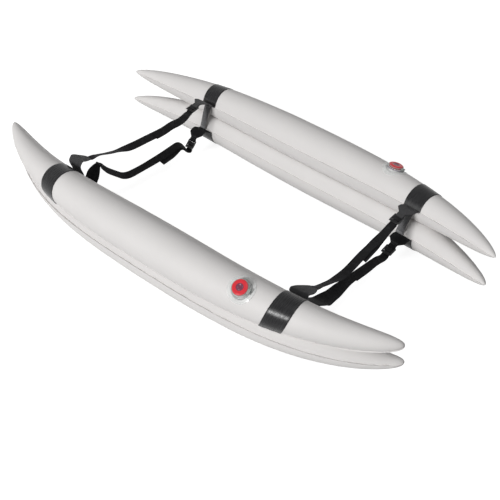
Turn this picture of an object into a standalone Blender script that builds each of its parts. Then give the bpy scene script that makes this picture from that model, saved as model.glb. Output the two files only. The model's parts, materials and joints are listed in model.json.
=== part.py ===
"""Paddleboard stabilizer: two inflated twin-tube floats joined by four adjustable webbing straps.

Metres, +Z up. +X runs along the floats and +Y from the near float to the far one.
The origin is on the ground, midway between the floats and halfway along them.
"""

from math import acos, asin, atan, copysign, cos, degrees, pi, radians, sin

import bmesh
import bpy
from mathutils import Matrix, Vector

# Floats: two banana-shaped tubes each, pressed together along a web
FLOAT_LENGTH = 1.524
FLOAT_SPACING = 0.670
TUBE_RADIUS = 0.0676
WEB_TO_AXIS = 0.046
FULLNESS = 2.15
TIP_ROUNDING = 0.594
TIP_RADIUS = 0.0015
BOW = 0.103
BOW_POWER = 3.55
ROLL = radians(12.0)
TOE_IN = radians(1.83)
BOARD_SEAM_ANGLE = 90.0
OUTER_SEAM_ANGLE = 112.0
SOLE_DEPTH = 0.0015
SOLE_HALF_ANGLE = 9.0
SOLE_HALF_LENGTH = 0.100
SEAM_WIDTH = 0.004
SEAM_THICKNESS = 0.001

# Clearance between pieces that touch
GAP = 0.0003

# Webbing, and the bands and tabs that carry it
BAND_POSITIONS = {"left": -0.405, "right": 0.477}
BAND_WIDTH = 0.062
BAND_THICKNESS = 0.0012
LOWER_BAND_END = -45.0
WEBBING_WIDTH = 0.025
WEBBING_THICKNESS = 0.0015
TAB_BASE_WIDTH = 0.058
TAB_STRAIGHT_END = 0.024
NEAR_TAB_TAPER = 0.044
FAR_TAB_TAPER = 0.016
LOOP_LEAD = 0.0005
LOOP_FOOT = 0.0022
LOOP_CLOSED = 0.0080
TIE_BULGE = 0.002
TIE_LEANS = {"left": 0.012, "right": 0.016}
SEWN_OVERLAP = 0.014
STRAP_LEAD = 0.012
STRAP_LEAD_DROP = 0.0005
TAIL_LENGTH = 0.160
TAIL_LIFT = 0.004
TAIL_START = 0.004

# Ladder lock buckle for 25 mm webbing
BUCKLE_THICKNESS = 0.0045
BUCKLE_ROUNDING = 0.001
RAIL_WIDTH = 0.004
SLOT_SIDE_CLEARANCE = 0.001
BACK_SLOT_LENGTH = 0.0080
MIDDLE_BAR_LENGTH = 0.0050
FRONT_SLOT_LENGTH = 0.0050
FRONT_BAR_LENGTH = 0.0055
LIP_RISE = 0.0032
LIP_OVERHANG = 0.0035
ENTRY_CLEARANCE = 0.004
GRIP_RIB_RADIUS = 0.0008

# Screw valve with a one-way flap
VALVE_PLACES = {"near": (0.3555, -20.5), "far": (0.345, -4.0)}
FLANGE_RADIUS = 0.039
FLANGE_THICKNESS = 0.0008
FLANGE_CLEARANCE = 0.0009
COLLAR_RADIUS = 0.0285
COLLAR_TOP = 0.0020
COLLAR_DEPTH = 0.0130
POCKET_DEPTH = 0.0170
THREAD_RADIUS = 0.0205
RIM_RADIUS = 0.0245
RIM_THICKNESS = 0.0017
SEAL_THICKNESS = 0.0012
SEAL_WIDTH = 0.0026
NECK_RADIUS = 0.0135
NECK_HEIGHT = 0.0052
VALVE_BORE_RADIUS = 0.0100
SEAT_THICKNESS = 0.0015
SEAT_HEIGHT = 0.0035
AIR_HOLE_RADIUS = 0.0024
AIR_HOLE_CIRCLE = 0.0062
AIR_HOLE_COUNT = 5
FLAP_THICKNESS = 0.0009
FLAP_STEM_RADIUS = 0.0016
CAP_RADIUS = 0.0220
CAP_HEIGHT = 0.0065
CAP_TOP_THICKNESS = 0.0016
CAP_GROOVE_DEPTH = 0.0012
CAP_GROOVE_WIDTH = 0.0022
CAP_DISC_RADIUS = 0.0105
CAP_DISC_RECESS = 0.0006
TETHER_THICKNESS = 0.0012
TETHER_RING_WIDTH = 0.0035
TETHER_WIDTH = 0.0140
TETHER_REACH = 0.0300

# Facets
TURNED_STEPS = 20
HOLE_STEPS = 8
BAR_STEPS = 8
LENGTH_STEPS = 9
CROWN_STEPS = 11
WEB_STEPS = 2
ARC_STEPS = 2
LEAST_STATION_GAP = 0.022

FLOAT_SIDES = {"near": 1, "far": -1}
TUBE_LEVELS = {"upper": 1, "lower": -1}
UP = Vector((0.0, 0.0, 1.0))

# Linear colours with roughness and transparency, read off the real materials
FINISHES = {
    "vinyl": ((0.72, 0.70, 0.69), 0.38, 1.0),
    "band": ((0.018, 0.018, 0.020), 0.22, 1.0),
    "webbing": ((0.012, 0.012, 0.013), 0.80, 1.0),
    "tie": ((0.115, 0.115, 0.120), 0.75, 1.0),
    "tab": ((0.055, 0.055, 0.058), 0.80, 1.0),
    "buckle": ((0.016, 0.016, 0.018), 0.35, 1.0),
    "clear_vinyl": ((0.80, 0.82, 0.80), 0.20, 0.45),
    "red_plastic": ((0.62, 0.020, 0.022), 0.30, 1.0),
    "pale_plastic": ((0.60, 0.62, 0.60), 0.35, 1.0),
    "purple_rubber": ((0.11, 0.035, 0.16), 0.45, 1.0),
    "tether": ((0.15, 0.17, 0.15), 0.50, 1.0),
}

# Each tab's side view: distances towards the board and upwards from its seam, after the sewn part
NEAR_TAB_PROFILES = {
    ("upper", "left"): ((0.011, 0.020), (0.020, 0.038), (0.036, 0.041), (0.063, 0.027)),
    ("upper", "right"): ((0.009, 0.012), (0.016, 0.019), (0.034, 0.015), (0.058, 0.002)),
    ("lower", "left"): ((0.018, 0.008), (0.041, 0.040), (0.062, 0.068)),
    ("lower", "right"): ((0.013, 0.008), (0.019, 0.024), (0.030, 0.042)),
}
FAR_TAB_PROFILES = {
    ("upper", "left"): ((0.014, 0.015), (0.028, 0.026)),
    ("upper", "right"): ((0.018, 0.009),),
    ("lower", "left"): ((0.018, 0.006), (0.034, 0.014)),
    ("lower", "right"): ((0.020, 0.003),),
}
# Each buckle's pivot, measured from its seam like the tabs, and the slope of the buckle in degrees
BUCKLE_PLACES = {
    ("upper", "left"): (0.068, 0.023, -12.0),
    ("upper", "right"): (0.057, 0.000, -16.0),
    ("lower", "left"): (0.069, -0.017, -46.0),
    ("lower", "right"): (0.057, -0.015, -21.0),
}
# Each strap's sag: share of the way from tab to buckle, and height over the straight line
STRAP_SAGS = {
    ("upper", "left"): (
        (0.14, -0.002), (0.37, -0.013), (0.55, -0.019), (0.70, -0.022), (0.82, -0.019), (0.88, -0.018),
        (0.94, -0.012),
    ),
    ("upper", "right"): (
        (0.10, -0.019), (0.29, -0.037), (0.42, -0.040), (0.54, -0.038), (0.71, -0.026), (0.88, -0.011),
    ),
    ("lower", "left"): (
        (0.065, -0.010), (0.15, -0.031), (0.25, -0.054), (0.41, -0.038), (0.63, -0.011), (0.79, 0.013),
        (0.88, 0.020),
    ),
    ("lower", "right"): (
        (0.045, 0.003), (0.16, -0.035), (0.27, -0.045), (0.43, -0.033), (0.59, -0.010), (0.75, 0.000),
        (0.89, 0.003),
    ),
}
# How far each strap's near end twists, in degrees, within the first part of its run
STRAP_TWISTS = {
    ("upper", "left"): 50.0,
    ("upper", "right"): 40.0,
    ("lower", "left"): 0.0,
    ("lower", "right"): 20.0,
}
TWISTED_SHARE = 0.34


def clear_scene():
    """Remove every object that the file opens with."""
    for old in list(bpy.data.objects):
        bpy.data.objects.remove(old, do_unlink=True)


def new_collection(name):
    """A collection linked to the scene."""
    collection = bpy.data.collections.new(name)
    bpy.context.scene.collection.children.link(collection)
    return collection


clear_scene()
PARTS = new_collection("paddleboard_stabilizer")
CUTTERS = new_collection("cutters")


def new_frame(name, matrix, parent=None):
    """An empty that carries the pieces of one body."""
    frame = bpy.data.objects.new(name, None)
    PARTS.objects.link(frame)
    frame.empty_display_size = 0.03
    frame.parent = parent
    frame.matrix_basis = parent_space(parent).inverted() @ matrix
    frame["world"] = [value for row in matrix for value in row]
    return frame


def parent_space(frame):
    """The world matrix that a frame was given."""
    if frame is None:
        return Matrix.Identity(4)
    values = list(frame["world"])
    return Matrix([values[4 * row : 4 * row + 4] for row in range(4)])


def set_finish(piece, finish):
    """Give a piece its own Principled material."""
    colour, roughness, opacity = FINISHES[finish]
    material = bpy.data.materials.new(piece.name + "_" + finish)
    material.use_nodes = True
    shader = material.node_tree.nodes["Principled BSDF"]
    shader.inputs["Base Color"].default_value = (*colour, 1.0)
    shader.inputs["Roughness"].default_value = roughness
    shader.inputs["Metallic"].default_value = 0.0
    shader.inputs["Alpha"].default_value = opacity
    piece.data.materials.append(material)


def new_piece(name, mesh_or_bmesh, finish, frame, world_points=True):
    """A named object in a frame. World points are first taken into that frame."""
    mesh = mesh_or_bmesh
    if isinstance(mesh_or_bmesh, bmesh.types.BMesh):
        bmesh.ops.recalc_face_normals(mesh_or_bmesh, faces=mesh_or_bmesh.faces)
        mesh = bpy.data.meshes.new(name)
        mesh_or_bmesh.to_mesh(mesh)
        mesh_or_bmesh.free()
    if world_points:
        mesh.transform(parent_space(frame).inverted())
    piece = bpy.data.objects.new(name, mesh)
    PARTS.objects.link(piece)
    piece.parent = frame
    set_finish(piece, finish)
    return piece


def as_cutter(piece):
    """Move a helper solid out of the model."""
    PARTS.objects.unlink(piece)
    CUTTERS.objects.link(piece)
    piece.hide_render = True
    piece.display_type = "WIRE"
    return piece


def combine(piece, other, operation):
    """Cut a piece with a helper, or join the helper to it."""
    step = piece.modifiers.new(operation.lower() + "_" + other.name, "BOOLEAN")
    step.operation = operation
    step.solver = "EXACT"
    step.object = as_cutter(other)


def shade_round(piece, angle=35.0):
    """Smooth shading between facets that meet at a small angle."""
    piece.data.shade_smooth()
    piece.data.set_sharp_from_angle(angle=radians(angle))


def loft(sections):
    """A closed solid through sections that have as many points each."""
    bm = bmesh.new()
    rings = [[bm.verts.new(point) for point in section] for section in sections]
    count = len(rings[0])
    for ring, following in zip(rings, rings[1:]):
        for i in range(count):
            j = (i + 1) % count
            bm.faces.new((ring[i], ring[j], following[j], following[i]))
    bm.faces.new(rings[0])
    bm.faces.new(list(reversed(rings[-1])))
    return bm


def rounded_route(points, rounds=2):
    """A route whose corners are cut again and again, with its ends kept."""
    for _ in range(rounds):
        route = [points[0]]
        for start, end in zip(points, points[1:]):
            route.append(start.lerp(end, 0.25))
            route.append(start.lerp(end, 0.75))
        route.append(points[-1])
        points = route
    return points


def filleted(points, radius):
    """A flat route of Vectors whose corners are arcs of one radius."""
    route = [points[0]]
    for before, corner, after in zip(points, points[1:], points[2:]):
        incoming = (corner - before).normalized()
        outgoing = (after - corner).normalized()
        turn = incoming.angle(outgoing)
        setback = radius * (sin(turn / 2) / cos(turn / 2))
        inward = (outgoing - incoming).normalized()
        centre = corner + inward * (radius / cos(turn / 2))
        first = corner - incoming * setback - centre
        last = corner + outgoing * setback - centre
        for step in range(ARC_STEPS + 1):
            share = step / ARC_STEPS
            blend = (first * sin((1 - share) * turn) + last * sin(share * turn)) / sin(turn)
            route.append(centre + blend)
    route.append(points[-1])
    return route


def tangents(points):
    """The direction of a route at each of its points."""
    last = len(points) - 1
    return [(points[min(i + 1, last)] - points[max(i - 1, 0)]).normalized() for i in range(last + 1)]


def ribbon(points, across, widths, thickness=WEBBING_THICKNESS, square=True):
    """A flat strip along a route, across a direction given for each point, squared to the route or not."""
    sections = []
    half = thickness / 2
    for point, tangent, side, width in zip(points, tangents(points), across, widths):
        if square:
            side = side - tangent * side.dot(tangent)
        side = side.normalized() * (width / 2)
        face = tangent.cross(side).normalized() * half
        sections.append([point - side - face, point + side - face, point + side + face, point - side + face])
    return loft(sections)


def flat_strip(points, radius, width, thickness):
    """A strip along a route of rounded corners in a frame's XZ plane."""
    route = filleted(points, radius)
    return ribbon(route, [Vector((0.0, 1.0, 0.0))] * len(route), [width] * len(route), thickness)


def route_lengths(points):
    """The distance along a route to each of its points."""
    lengths = [0.0]
    for start, end in zip(points, points[1:]):
        lengths.append(lengths[-1] + (end - start).length)
    return lengths


# Shape of one tube

def share_of_half(x):
    """How far out along the float a station lies, from 0 in the middle to 1 at a tip."""
    return min(abs(x) / (FLOAT_LENGTH / 2), 1.0)


def tube_radius(x):
    """The tube's radius at a station."""
    return max(TIP_RADIUS, TUBE_RADIUS * (1 - share_of_half(x) ** FULLNESS) ** TIP_ROUNDING)


def seam_width(x):
    """The weld flange's width at a station. It runs out towards the tip."""
    return TIP_RADIUS + (SEAM_WIDTH - TIP_RADIUS) * (1 - share_of_half(x) ** 12)


def seam_half_thickness(x):
    """Half the weld flange's thickness at a station."""
    return min(SEAM_THICKNESS / 2, 0.2 * tube_radius(x))


def centre_offset(x):
    """How far the tube's centre line has bent towards the board at a station."""
    return BOW * share_of_half(x) ** BOW_POWER


def centre_slope(x):
    """The slope of the bent centre line at a station."""
    steepness = BOW * BOW_POWER * share_of_half(x) ** (BOW_POWER - 1) / (FLOAT_LENGTH / 2)
    return atan(copysign(steepness, x))


def float_matrix(side):
    """Where a float stands: rolled and toed in about its own middle."""
    middle = Vector((
        BOW * sin(TOE_IN),
        -side * FLOAT_SPACING / 2,
        TUBE_RADIUS + WEB_TO_AXIS * cos(ROLL) - SOLE_DEPTH,
    ))
    turn = Matrix.Rotation(side * TOE_IN, 4, "Z") @ Matrix.Rotation(side * ROLL, 4, "X")
    return Matrix.Translation(middle) @ turn


def tube_point(side, level, x, angle, offset=0.0, rise=0.0):
    """A world point at a tube: degrees from its crown, towards the board, and a height off its skin."""
    reach = tube_radius(x) + offset
    across = reach * sin(radians(angle))
    slope = centre_slope(x)
    height = WEB_TO_AXIS + reach * cos(radians(angle)) + rise
    matrix = float_matrix(side)
    point = matrix @ Vector((
        x - sin(slope) * across,
        side * (centre_offset(x) + cos(slope) * across),
        level * max(height, GAP / 2),
    ))
    if point.z < 0:
        upward = matrix.to_3x3() @ UP
        point -= upward * (point.z / upward.z)
        point.z = 0.0
    return point


def crown_angles(level):
    """The facet corners from seam to seam. The lower tube has one facet square to the ground."""
    first, last = BOARD_SEAM_ANGLE, -OUTER_SEAM_ANGLE
    if level > 0:
        return [first + (last - first) * i / CROWN_STEPS for i in range(1, CROWN_STEPS)]
    board_end = SOLE_HALF_ANGLE - degrees(ROLL)
    outer_end = -SOLE_HALF_ANGLE - degrees(ROLL)
    board_steps = CROWN_STEPS // 2
    outer_steps = CROWN_STEPS - 1 - board_steps
    board = [first + (board_end - first) * i / board_steps for i in range(1, board_steps + 1)]
    outer = [outer_end + (last - outer_end) * i / outer_steps for i in range(outer_steps)]
    return board + outer


def web_angles(x):
    """The facet corners on the side that the other tube flattens."""
    contact = -(WEB_TO_AXIS - GAP / 2) / tube_radius(x)
    flat_from = min(168.0, degrees(acos(max(-1.0, contact))))
    outer_step = (flat_from - OUTER_SEAM_ANGLE) / WEB_STEPS
    board_step = (flat_from - BOARD_SEAM_ANGLE) / WEB_STEPS
    outer = [-OUTER_SEAM_ANGLE - outer_step * i for i in range(1, WEB_STEPS + 1)]
    board = [BOARD_SEAM_ANGLE + board_step * i for i in range(WEB_STEPS, 0, -1)]
    return outer + [180.0] + board


def tube_ring(side, level, x):
    """One cross-section of a tube with its two weld flanges."""
    flange = seam_width(x)
    half = seam_half_thickness(x)
    board, outer = BOARD_SEAM_ANGLE, -OUTER_SEAM_ANGLE
    corners = [(board, 0.0, half)]
    corners += [(angle, 0.0, 0.0) for angle in crown_angles(level)]
    corners += [(outer, 0.0, half), (outer, flange, half), (outer, flange, -half), (outer, 0.0, -half)]
    corners += [(angle, 0.0, 0.0) for angle in web_angles(x)]
    corners += [(board, 0.0, -half), (board, flange, -half), (board, flange, half)]
    return [tube_point(side, level, x, angle, offset, rise) for angle, offset, rise in corners]


def band_edges(end_name):
    """The stations of a band's two edges. Between them the tube runs straight."""
    middle = BAND_POSITIONS[end_name]
    return [middle - BAND_WIDTH / 2, middle + BAND_WIDTH / 2]


def tube_stations():
    """Stations along a tube: close at the tips, and at the ends of the sole and the bands."""
    fixed = [-SOLE_HALF_LENGTH, 0.0, SOLE_HALF_LENGTH]
    for end_name in BAND_POSITIONS:
        fixed += band_edges(end_name)
    spread = [
        FLOAT_LENGTH / 2 * sin(pi / 2 * i / LENGTH_STEPS) for i in range(-LENGTH_STEPS, LENGTH_STEPS + 1)
    ]
    in_band = BAND_WIDTH / 2
    clear = [
        x for x in spread
        if min(abs(x - other) for other in fixed) > LEAST_STATION_GAP
        and min(abs(x - middle) for middle in BAND_POSITIONS.values()) > in_band
    ]
    return sorted(fixed + clear)


# Frames of the two floats
FRAMES = {
    "near": new_frame("near_float_frame", float_matrix(FLOAT_SIDES["near"])),
    "far": new_frame("far_float_frame", float_matrix(FLOAT_SIDES["far"])),
}


def add_tube(float_name, level_name):
    """One inflated tube, welded shut along both sides."""
    side, level = FLOAT_SIDES[float_name], TUBE_LEVELS[level_name]
    body = loft([tube_ring(side, level, x) for x in tube_stations()])
    tube = new_piece(float_name + "_" + level_name + "_tube", body, "vinyl", FRAMES[float_name])
    shade_round(tube)
    return tube


def add_band(float_name, level_name, end_name):
    """A glossy patch round a tube's crown, from the board's seam. The lower one ends at the underside."""
    side, level = FLOAT_SIDES[float_name], TUBE_LEVELS[level_name]
    sections = []
    for x in band_edges(end_name):
        clear = degrees(asin((seam_half_thickness(x) + 2 * GAP) / tube_radius(x)))
        angles = [BOARD_SEAM_ANGLE - clear] + crown_angles(level) + [clear - OUTER_SEAM_ANGLE]
        if level < 0:
            angles = [angle for angle in angles if angle > LOWER_BAND_END]
        inner = [tube_point(side, level, x, angle, GAP) for angle in angles]
        outer = [tube_point(side, level, x, angle, GAP + BAND_THICKNESS) for angle in angles]
        sections.append(inner + outer[::-1])
    name = "_".join((float_name, level_name, end_name, "band"))
    shade_round(new_piece(name, loft(sections), "band", FRAMES[float_name]))


# Directions at a seam that faces the board

def seam_middle(side, level, end_name, offset=0.0):
    """The seam that faces the board, or a line beside it, halfway between a band's edges."""
    edges = band_edges(end_name)
    first, last = [tube_point(side, level, x, BOARD_SEAM_ANGLE, offset) for x in edges]
    return (first + last) / 2


def seam_directions(side, level, end_name):
    """Along the seam, level towards the board, and out along the weld flange."""
    first, last = [tube_point(side, level, x, BOARD_SEAM_ANGLE) for x in band_edges(end_name)]
    along = (last - first).normalized()
    towards_board = (UP.cross(along) * side).normalized()
    outward = seam_middle(side, level, end_name, SEAM_WIDTH) - seam_middle(side, level, end_name)
    flange = (outward - along * outward.dot(along)).normalized()
    return along, towards_board, flange


def add_tie(float_name, end_name):
    """A short strip that holds the two tubes' seams together."""
    side = FLOAT_SIDES[float_name]
    along, _, flange = seam_directions(side, TUBE_LEVELS["upper"], end_name)
    reach = SEAM_WIDTH + GAP + WEBBING_THICKNESS / 2
    top = seam_middle(side, TUBE_LEVELS["upper"], end_name, reach)
    bottom = seam_middle(side, TUBE_LEVELS["lower"], end_name, reach) - along * TIE_LEANS[end_name]
    steps = 3 * ARC_STEPS
    points = []
    for step in range(steps + 1):
        share = step / steps
        points.append(top.lerp(bottom, share) + flange * (TIE_BULGE * sin(pi * share)))
    count = len(points)
    strip = ribbon(points, [along] * count, [WEBBING_WIDTH] * count, square=False)
    name = "_".join((float_name, end_name, "tie"))
    shade_round(new_piece(name, strip, "tie", FRAMES[float_name]))


def tab_start(side, level, end_name):
    """The sewn part of a tab: over the flange, clear of the band, and out past the tie."""
    along, _, flange = seam_directions(side, level, end_name)
    away_from_web = along.cross(flange) * (side * level)
    seat = SEAM_THICKNESS / 2 + GAP + WEBBING_THICKNESS / 2
    base = seam_middle(side, level, end_name) + away_from_web * seat
    first = base + flange * (BAND_THICKNESS + 3 * GAP)
    past_tie = base + flange * (SEAM_WIDTH + 2 * GAP + 2 * WEBBING_THICKNESS)
    return [first, past_tie]


def in_profile(side, level, end_name, towards, rise):
    """A world point measured from a seam, level towards the board and upwards."""
    _, towards_board, _ = seam_directions(side, level, end_name)
    return seam_middle(side, level, end_name) + towards_board * towards + UP * rise


def tab_widths(points, taper_end, taper):
    """Widths along a tab: broad, then sloping shoulders down to webbing width."""
    widths = []
    for length in route_lengths(points):
        share = min(1.0, max(0.0, (length - taper_end + taper) / taper))
        widths.append(TAB_BASE_WIDTH + (WEBBING_WIDTH - TAB_BASE_WIDTH) * share)
    return widths


def near_tab_route(level_name, end_name):
    """The corner points of a near tab, from its seam to its tip."""
    side, level = FLOAT_SIDES["near"], TUBE_LEVELS[level_name]
    points = tab_start(side, level, end_name)
    profile = NEAR_TAB_PROFILES[level_name, end_name]
    points += [in_profile(side, level, end_name, *place) for place in profile]
    return points


def add_near_tab(level_name, end_name):
    """A tapered tab that carries a strap's sewn end."""
    along, _, _ = seam_directions(FLOAT_SIDES["near"], TUBE_LEVELS[level_name], end_name)
    points = rounded_route(near_tab_route(level_name, end_name))
    widths = tab_widths(points, route_lengths(points)[-1], NEAR_TAB_TAPER)
    name = "_".join(("near", level_name, end_name, "tab"))
    strip = ribbon(points, [along] * len(points), widths)
    shade_round(new_piece(name, strip, "tab", FRAMES["near"]))


# Ladder lock buckle: its own frame has X across, Y out along the strap and Z up, at the pivot
PIVOT_RADIUS = BUCKLE_THICKNESS / 2
SLOT_HALF_WIDTH = WEBBING_WIDTH / 2 + SLOT_SIDE_CLEARANCE
BUCKLE_HALF_WIDTH = SLOT_HALF_WIDTH + RAIL_WIDTH
MIDDLE_BAR_START = PIVOT_RADIUS + BACK_SLOT_LENGTH
MIDDLE_BAR_END = MIDDLE_BAR_START + MIDDLE_BAR_LENGTH
FRONT_BAR_START = MIDDLE_BAR_END + FRONT_SLOT_LENGTH
BUCKLE_END = FRONT_BAR_START + FRONT_BAR_LENGTH
WEBBING_REACH = GAP + WEBBING_THICKNESS / 2
UNDER_BAR = -(BUCKLE_THICKNESS / 2 + WEBBING_REACH)
UNDER_TAIL = UNDER_BAR - WEBBING_THICKNESS - 2 * GAP
STRAP_ENTRY = BUCKLE_END + ENTRY_CLEARANCE


def buckle_matrix(level_name, end_name):
    """A buckle's place: on its pivot, facing the near float."""
    side, level = FLOAT_SIDES["far"], TUBE_LEVELS[level_name]
    towards, rise, slope = BUCKLE_PLACES[level_name, end_name]
    along, towards_board, _ = seam_directions(side, level, end_name)
    outward = (towards_board * cos(radians(slope)) + UP * sin(radians(slope))).normalized()
    across = (-along - outward * -along.dot(outward)).normalized()
    upward = across.cross(outward)
    turn = Matrix((across, outward, upward)).transposed().to_4x4()
    return Matrix.Translation(in_profile(side, level, end_name, towards, rise)) @ turn


def flat_outline(name, outlines, thickness, rounding):
    """A flat plate from closed outlines, with rounded edges, as a welded mesh."""
    curve = bpy.data.curves.new(name, "CURVE")
    curve.dimensions = "2D"
    curve.fill_mode = "BOTH"
    curve.extrude = thickness / 2 - rounding
    curve.bevel_depth = rounding
    curve.bevel_resolution = 0
    curve.offset = -rounding
    for outline in outlines:
        spline = curve.splines.new("POLY")
        spline.points.add(len(outline) - 1)
        for point, (x, y) in zip(spline.points, outline):
            point.co = (x, y, 0.0, 1.0)
        spline.use_cyclic_u = True
    holder = bpy.data.objects.new(name, curve)
    PARTS.objects.link(holder)
    bpy.context.view_layer.update()
    evaluated = holder.evaluated_get(bpy.context.evaluated_depsgraph_get())
    mesh = bpy.data.meshes.new_from_object(evaluated)
    bpy.data.objects.remove(holder, do_unlink=True)
    bm = bmesh.new()
    bm.from_mesh(mesh)
    bmesh.ops.remove_doubles(bm, verts=bm.verts, dist=0.00001)
    return bm


def arc(centre_x, centre_y, radius, start, end, steps):
    """Points on an arc, angles in degrees."""
    angles = [radians(start + (end - start) * i / steps) for i in range(steps + 1)]
    return [(centre_x + radius * cos(angle), centre_y + radius * sin(angle)) for angle in angles]


def buckle_outlines():
    """The buckle's plan: a frame open at the back between two rails, and the front slot."""
    corner = RAIL_WIDTH * 0.75
    inner = SLOT_HALF_WIDTH
    outer = BUCKLE_HALF_WIDTH
    rail_end = RAIL_WIDTH / 2
    rail_middle = inner + rail_end
    slot_corner = FRONT_SLOT_LENGTH / 3
    frame = arc(outer - corner, BUCKLE_END - corner, corner, 0, 90, 3)
    frame += arc(corner - outer, BUCKLE_END - corner, corner, 90, 180, 3)
    frame += arc(-rail_middle, 0.0, rail_end, 180, 360, 6)
    frame += [(-inner, MIDDLE_BAR_START), (inner, MIDDLE_BAR_START)]
    frame += arc(rail_middle, 0.0, rail_end, 180, 360, 6)
    slot = []
    for centre_x, centre_y, start in (
        (inner - slot_corner, FRONT_BAR_START - slot_corner, 0),
        (slot_corner - inner, FRONT_BAR_START - slot_corner, 90),
        (slot_corner - inner, MIDDLE_BAR_END + slot_corner, 180),
        (inner - slot_corner, MIDDLE_BAR_END + slot_corner, 270),
    ):
        slot += arc(centre_x, centre_y, slot_corner, start, start + 90, 2)
    return [frame, slot]


def bar(name, radius, length, matrix, finish="buckle"):
    """A round bar along a frame's X axis."""
    bm = bmesh.new()
    bmesh.ops.create_cone(
        bm, cap_ends=True, segments=BAR_STEPS, radius1=radius, radius2=radius, depth=length,
        matrix=Matrix.Rotation(pi / 2, 4, "Y"),
    )
    bmesh.ops.transform(bm, matrix=matrix, verts=bm.verts)
    return new_piece(name, bm, finish, None, world_points=False)


def lip_block(name):
    """The raised thumb lip: a wedge that rises past the front bar."""
    start, end = FRONT_BAR_START + BUCKLE_ROUNDING, BUCKLE_END + LIP_OVERHANG
    low, top = -BUCKLE_THICKNESS / 4, BUCKLE_THICKNESS / 2
    profile = [
        (start, low), (BUCKLE_END - BUCKLE_ROUNDING, low), (end, top), (end, top + LIP_RISE), (start, top),
    ]
    half = BUCKLE_HALF_WIDTH - RAIL_WIDTH / 2
    sections = [[Vector((x, y, z)) for y, z in profile] for x in (-half, half)]
    return new_piece(name, loft(sections), "buckle", None, world_points=False)


def add_buckle(level_name, end_name):
    """A ladder lock that hangs on its pivot bar in the tab's loop and grips the strap."""
    name = "_".join((level_name, end_name, "buckle"))
    matrix = buckle_matrix(level_name, end_name)
    plate = flat_outline(name, buckle_outlines(), BUCKLE_THICKNESS, BUCKLE_ROUNDING)
    buckle = new_piece(name, plate, "buckle", None, world_points=False)
    pivot_length = 2 * (SLOT_HALF_WIDTH + RAIL_WIDTH / 2)
    helpers = [bar(name + "_pivot", PIVOT_RADIUS, pivot_length, Matrix.Identity(4)), lip_block(name + "_lip")]
    rib_length = 2 * SLOT_HALF_WIDTH
    slope = LIP_RISE / (BUCKLE_END + LIP_OVERHANG - FRONT_BAR_START - BUCKLE_ROUNDING)
    for rib in (1, 2, 3):
        reach = FRONT_BAR_START + BUCKLE_ROUNDING + rib * FRONT_BAR_LENGTH / 3
        height = BUCKLE_THICKNESS / 2 + slope * (reach - FRONT_BAR_START - BUCKLE_ROUNDING)
        place = Matrix.Translation((0.0, reach, height))
        helpers.append(bar(name + "_rib_" + str(rib), GRIP_RIB_RADIUS, rib_length, place))
    for piece in [buckle] + helpers:
        piece.parent = FRAMES["far"]
        piece.matrix_basis = parent_space(FRAMES["far"]).inverted() @ matrix
    for helper in helpers:
        combine(buckle, helper, "UNION")
    shade_round(buckle)


def add_far_tab(level_name, end_name):
    """A tapered tab whose end loops round a buckle's pivot bar and is sewn back under itself."""
    side, level = FLOAT_SIDES["far"], TUBE_LEVELS[level_name]
    along, _, _ = seam_directions(side, level, end_name)
    matrix = buckle_matrix(level_name, end_name)
    reach = PIVOT_RADIUS + WEBBING_REACH
    profile = FAR_TAB_PROFILES[level_name, end_name]
    points = tab_start(side, level, end_name)
    points += [in_profile(side, level, end_name, *place) for place in profile]
    points.append(matrix @ Vector((0.0, -TAB_STRAIGHT_END, reach)))
    points.append(matrix @ Vector((0.0, -TAB_STRAIGHT_END / 2, reach)))
    points = rounded_route(points, rounds=1)
    taper_end = route_lengths(points)[-1]
    for angle in range(90, -91, -30):
        points.append(matrix @ Vector((0.0, reach * cos(radians(angle)), reach * sin(radians(angle)))))
    layer = reach - WEBBING_THICKNESS - GAP
    back = [Vector((0.0, y, z)) for y, z in (
        (-LOOP_LEAD, -reach), (-LOOP_FOOT, -reach), (-LOOP_CLOSED, layer), (-TAB_STRAIGHT_END, layer),
    )]
    points += [matrix @ point for point in filleted(back, PIVOT_RADIUS)]
    across = (matrix.to_3x3() @ Vector((-1.0, 0.0, 0.0))).normalized()
    lengths = route_lengths(points)
    directions = [along.lerp(across, min(1.0, length / taper_end)) for length in lengths]
    name = "_".join(("far", level_name, end_name, "tab"))
    strip = ribbon(points, directions, tab_widths(points, taper_end, FAR_TAB_TAPER))
    shade_round(new_piece(name, strip, "tab", FRAMES["far"]))


def strap_run(level_name, end_name):
    """A strap's free run, from under the near tab's tip to the buckle's underside."""
    tip_start, tip = near_tab_route(level_name, end_name)[-2:]
    along, _, _ = seam_directions(FLOAT_SIDES["near"], TUBE_LEVELS[level_name], end_name)
    outward = (tip - tip_start).normalized()
    under = outward.cross(along).normalized() * (WEBBING_THICKNESS + GAP)
    matrix = buckle_matrix(level_name, end_name)
    entry = matrix @ Vector((0.0, STRAP_ENTRY, UNDER_TAIL))
    approach = matrix @ Vector((0.0, STRAP_ENTRY + STRAP_LEAD, UNDER_TAIL - STRAP_LEAD_DROP))
    lead = tip + under + outward * STRAP_LEAD
    points = [tip + under - outward * SEWN_OVERLAP, tip + under, lead]
    for share, height in STRAP_SAGS[level_name, end_name]:
        points.append((tip + under).lerp(entry, share) + UP * height)
    return rounded_route(points + [approach, entry])


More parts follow.
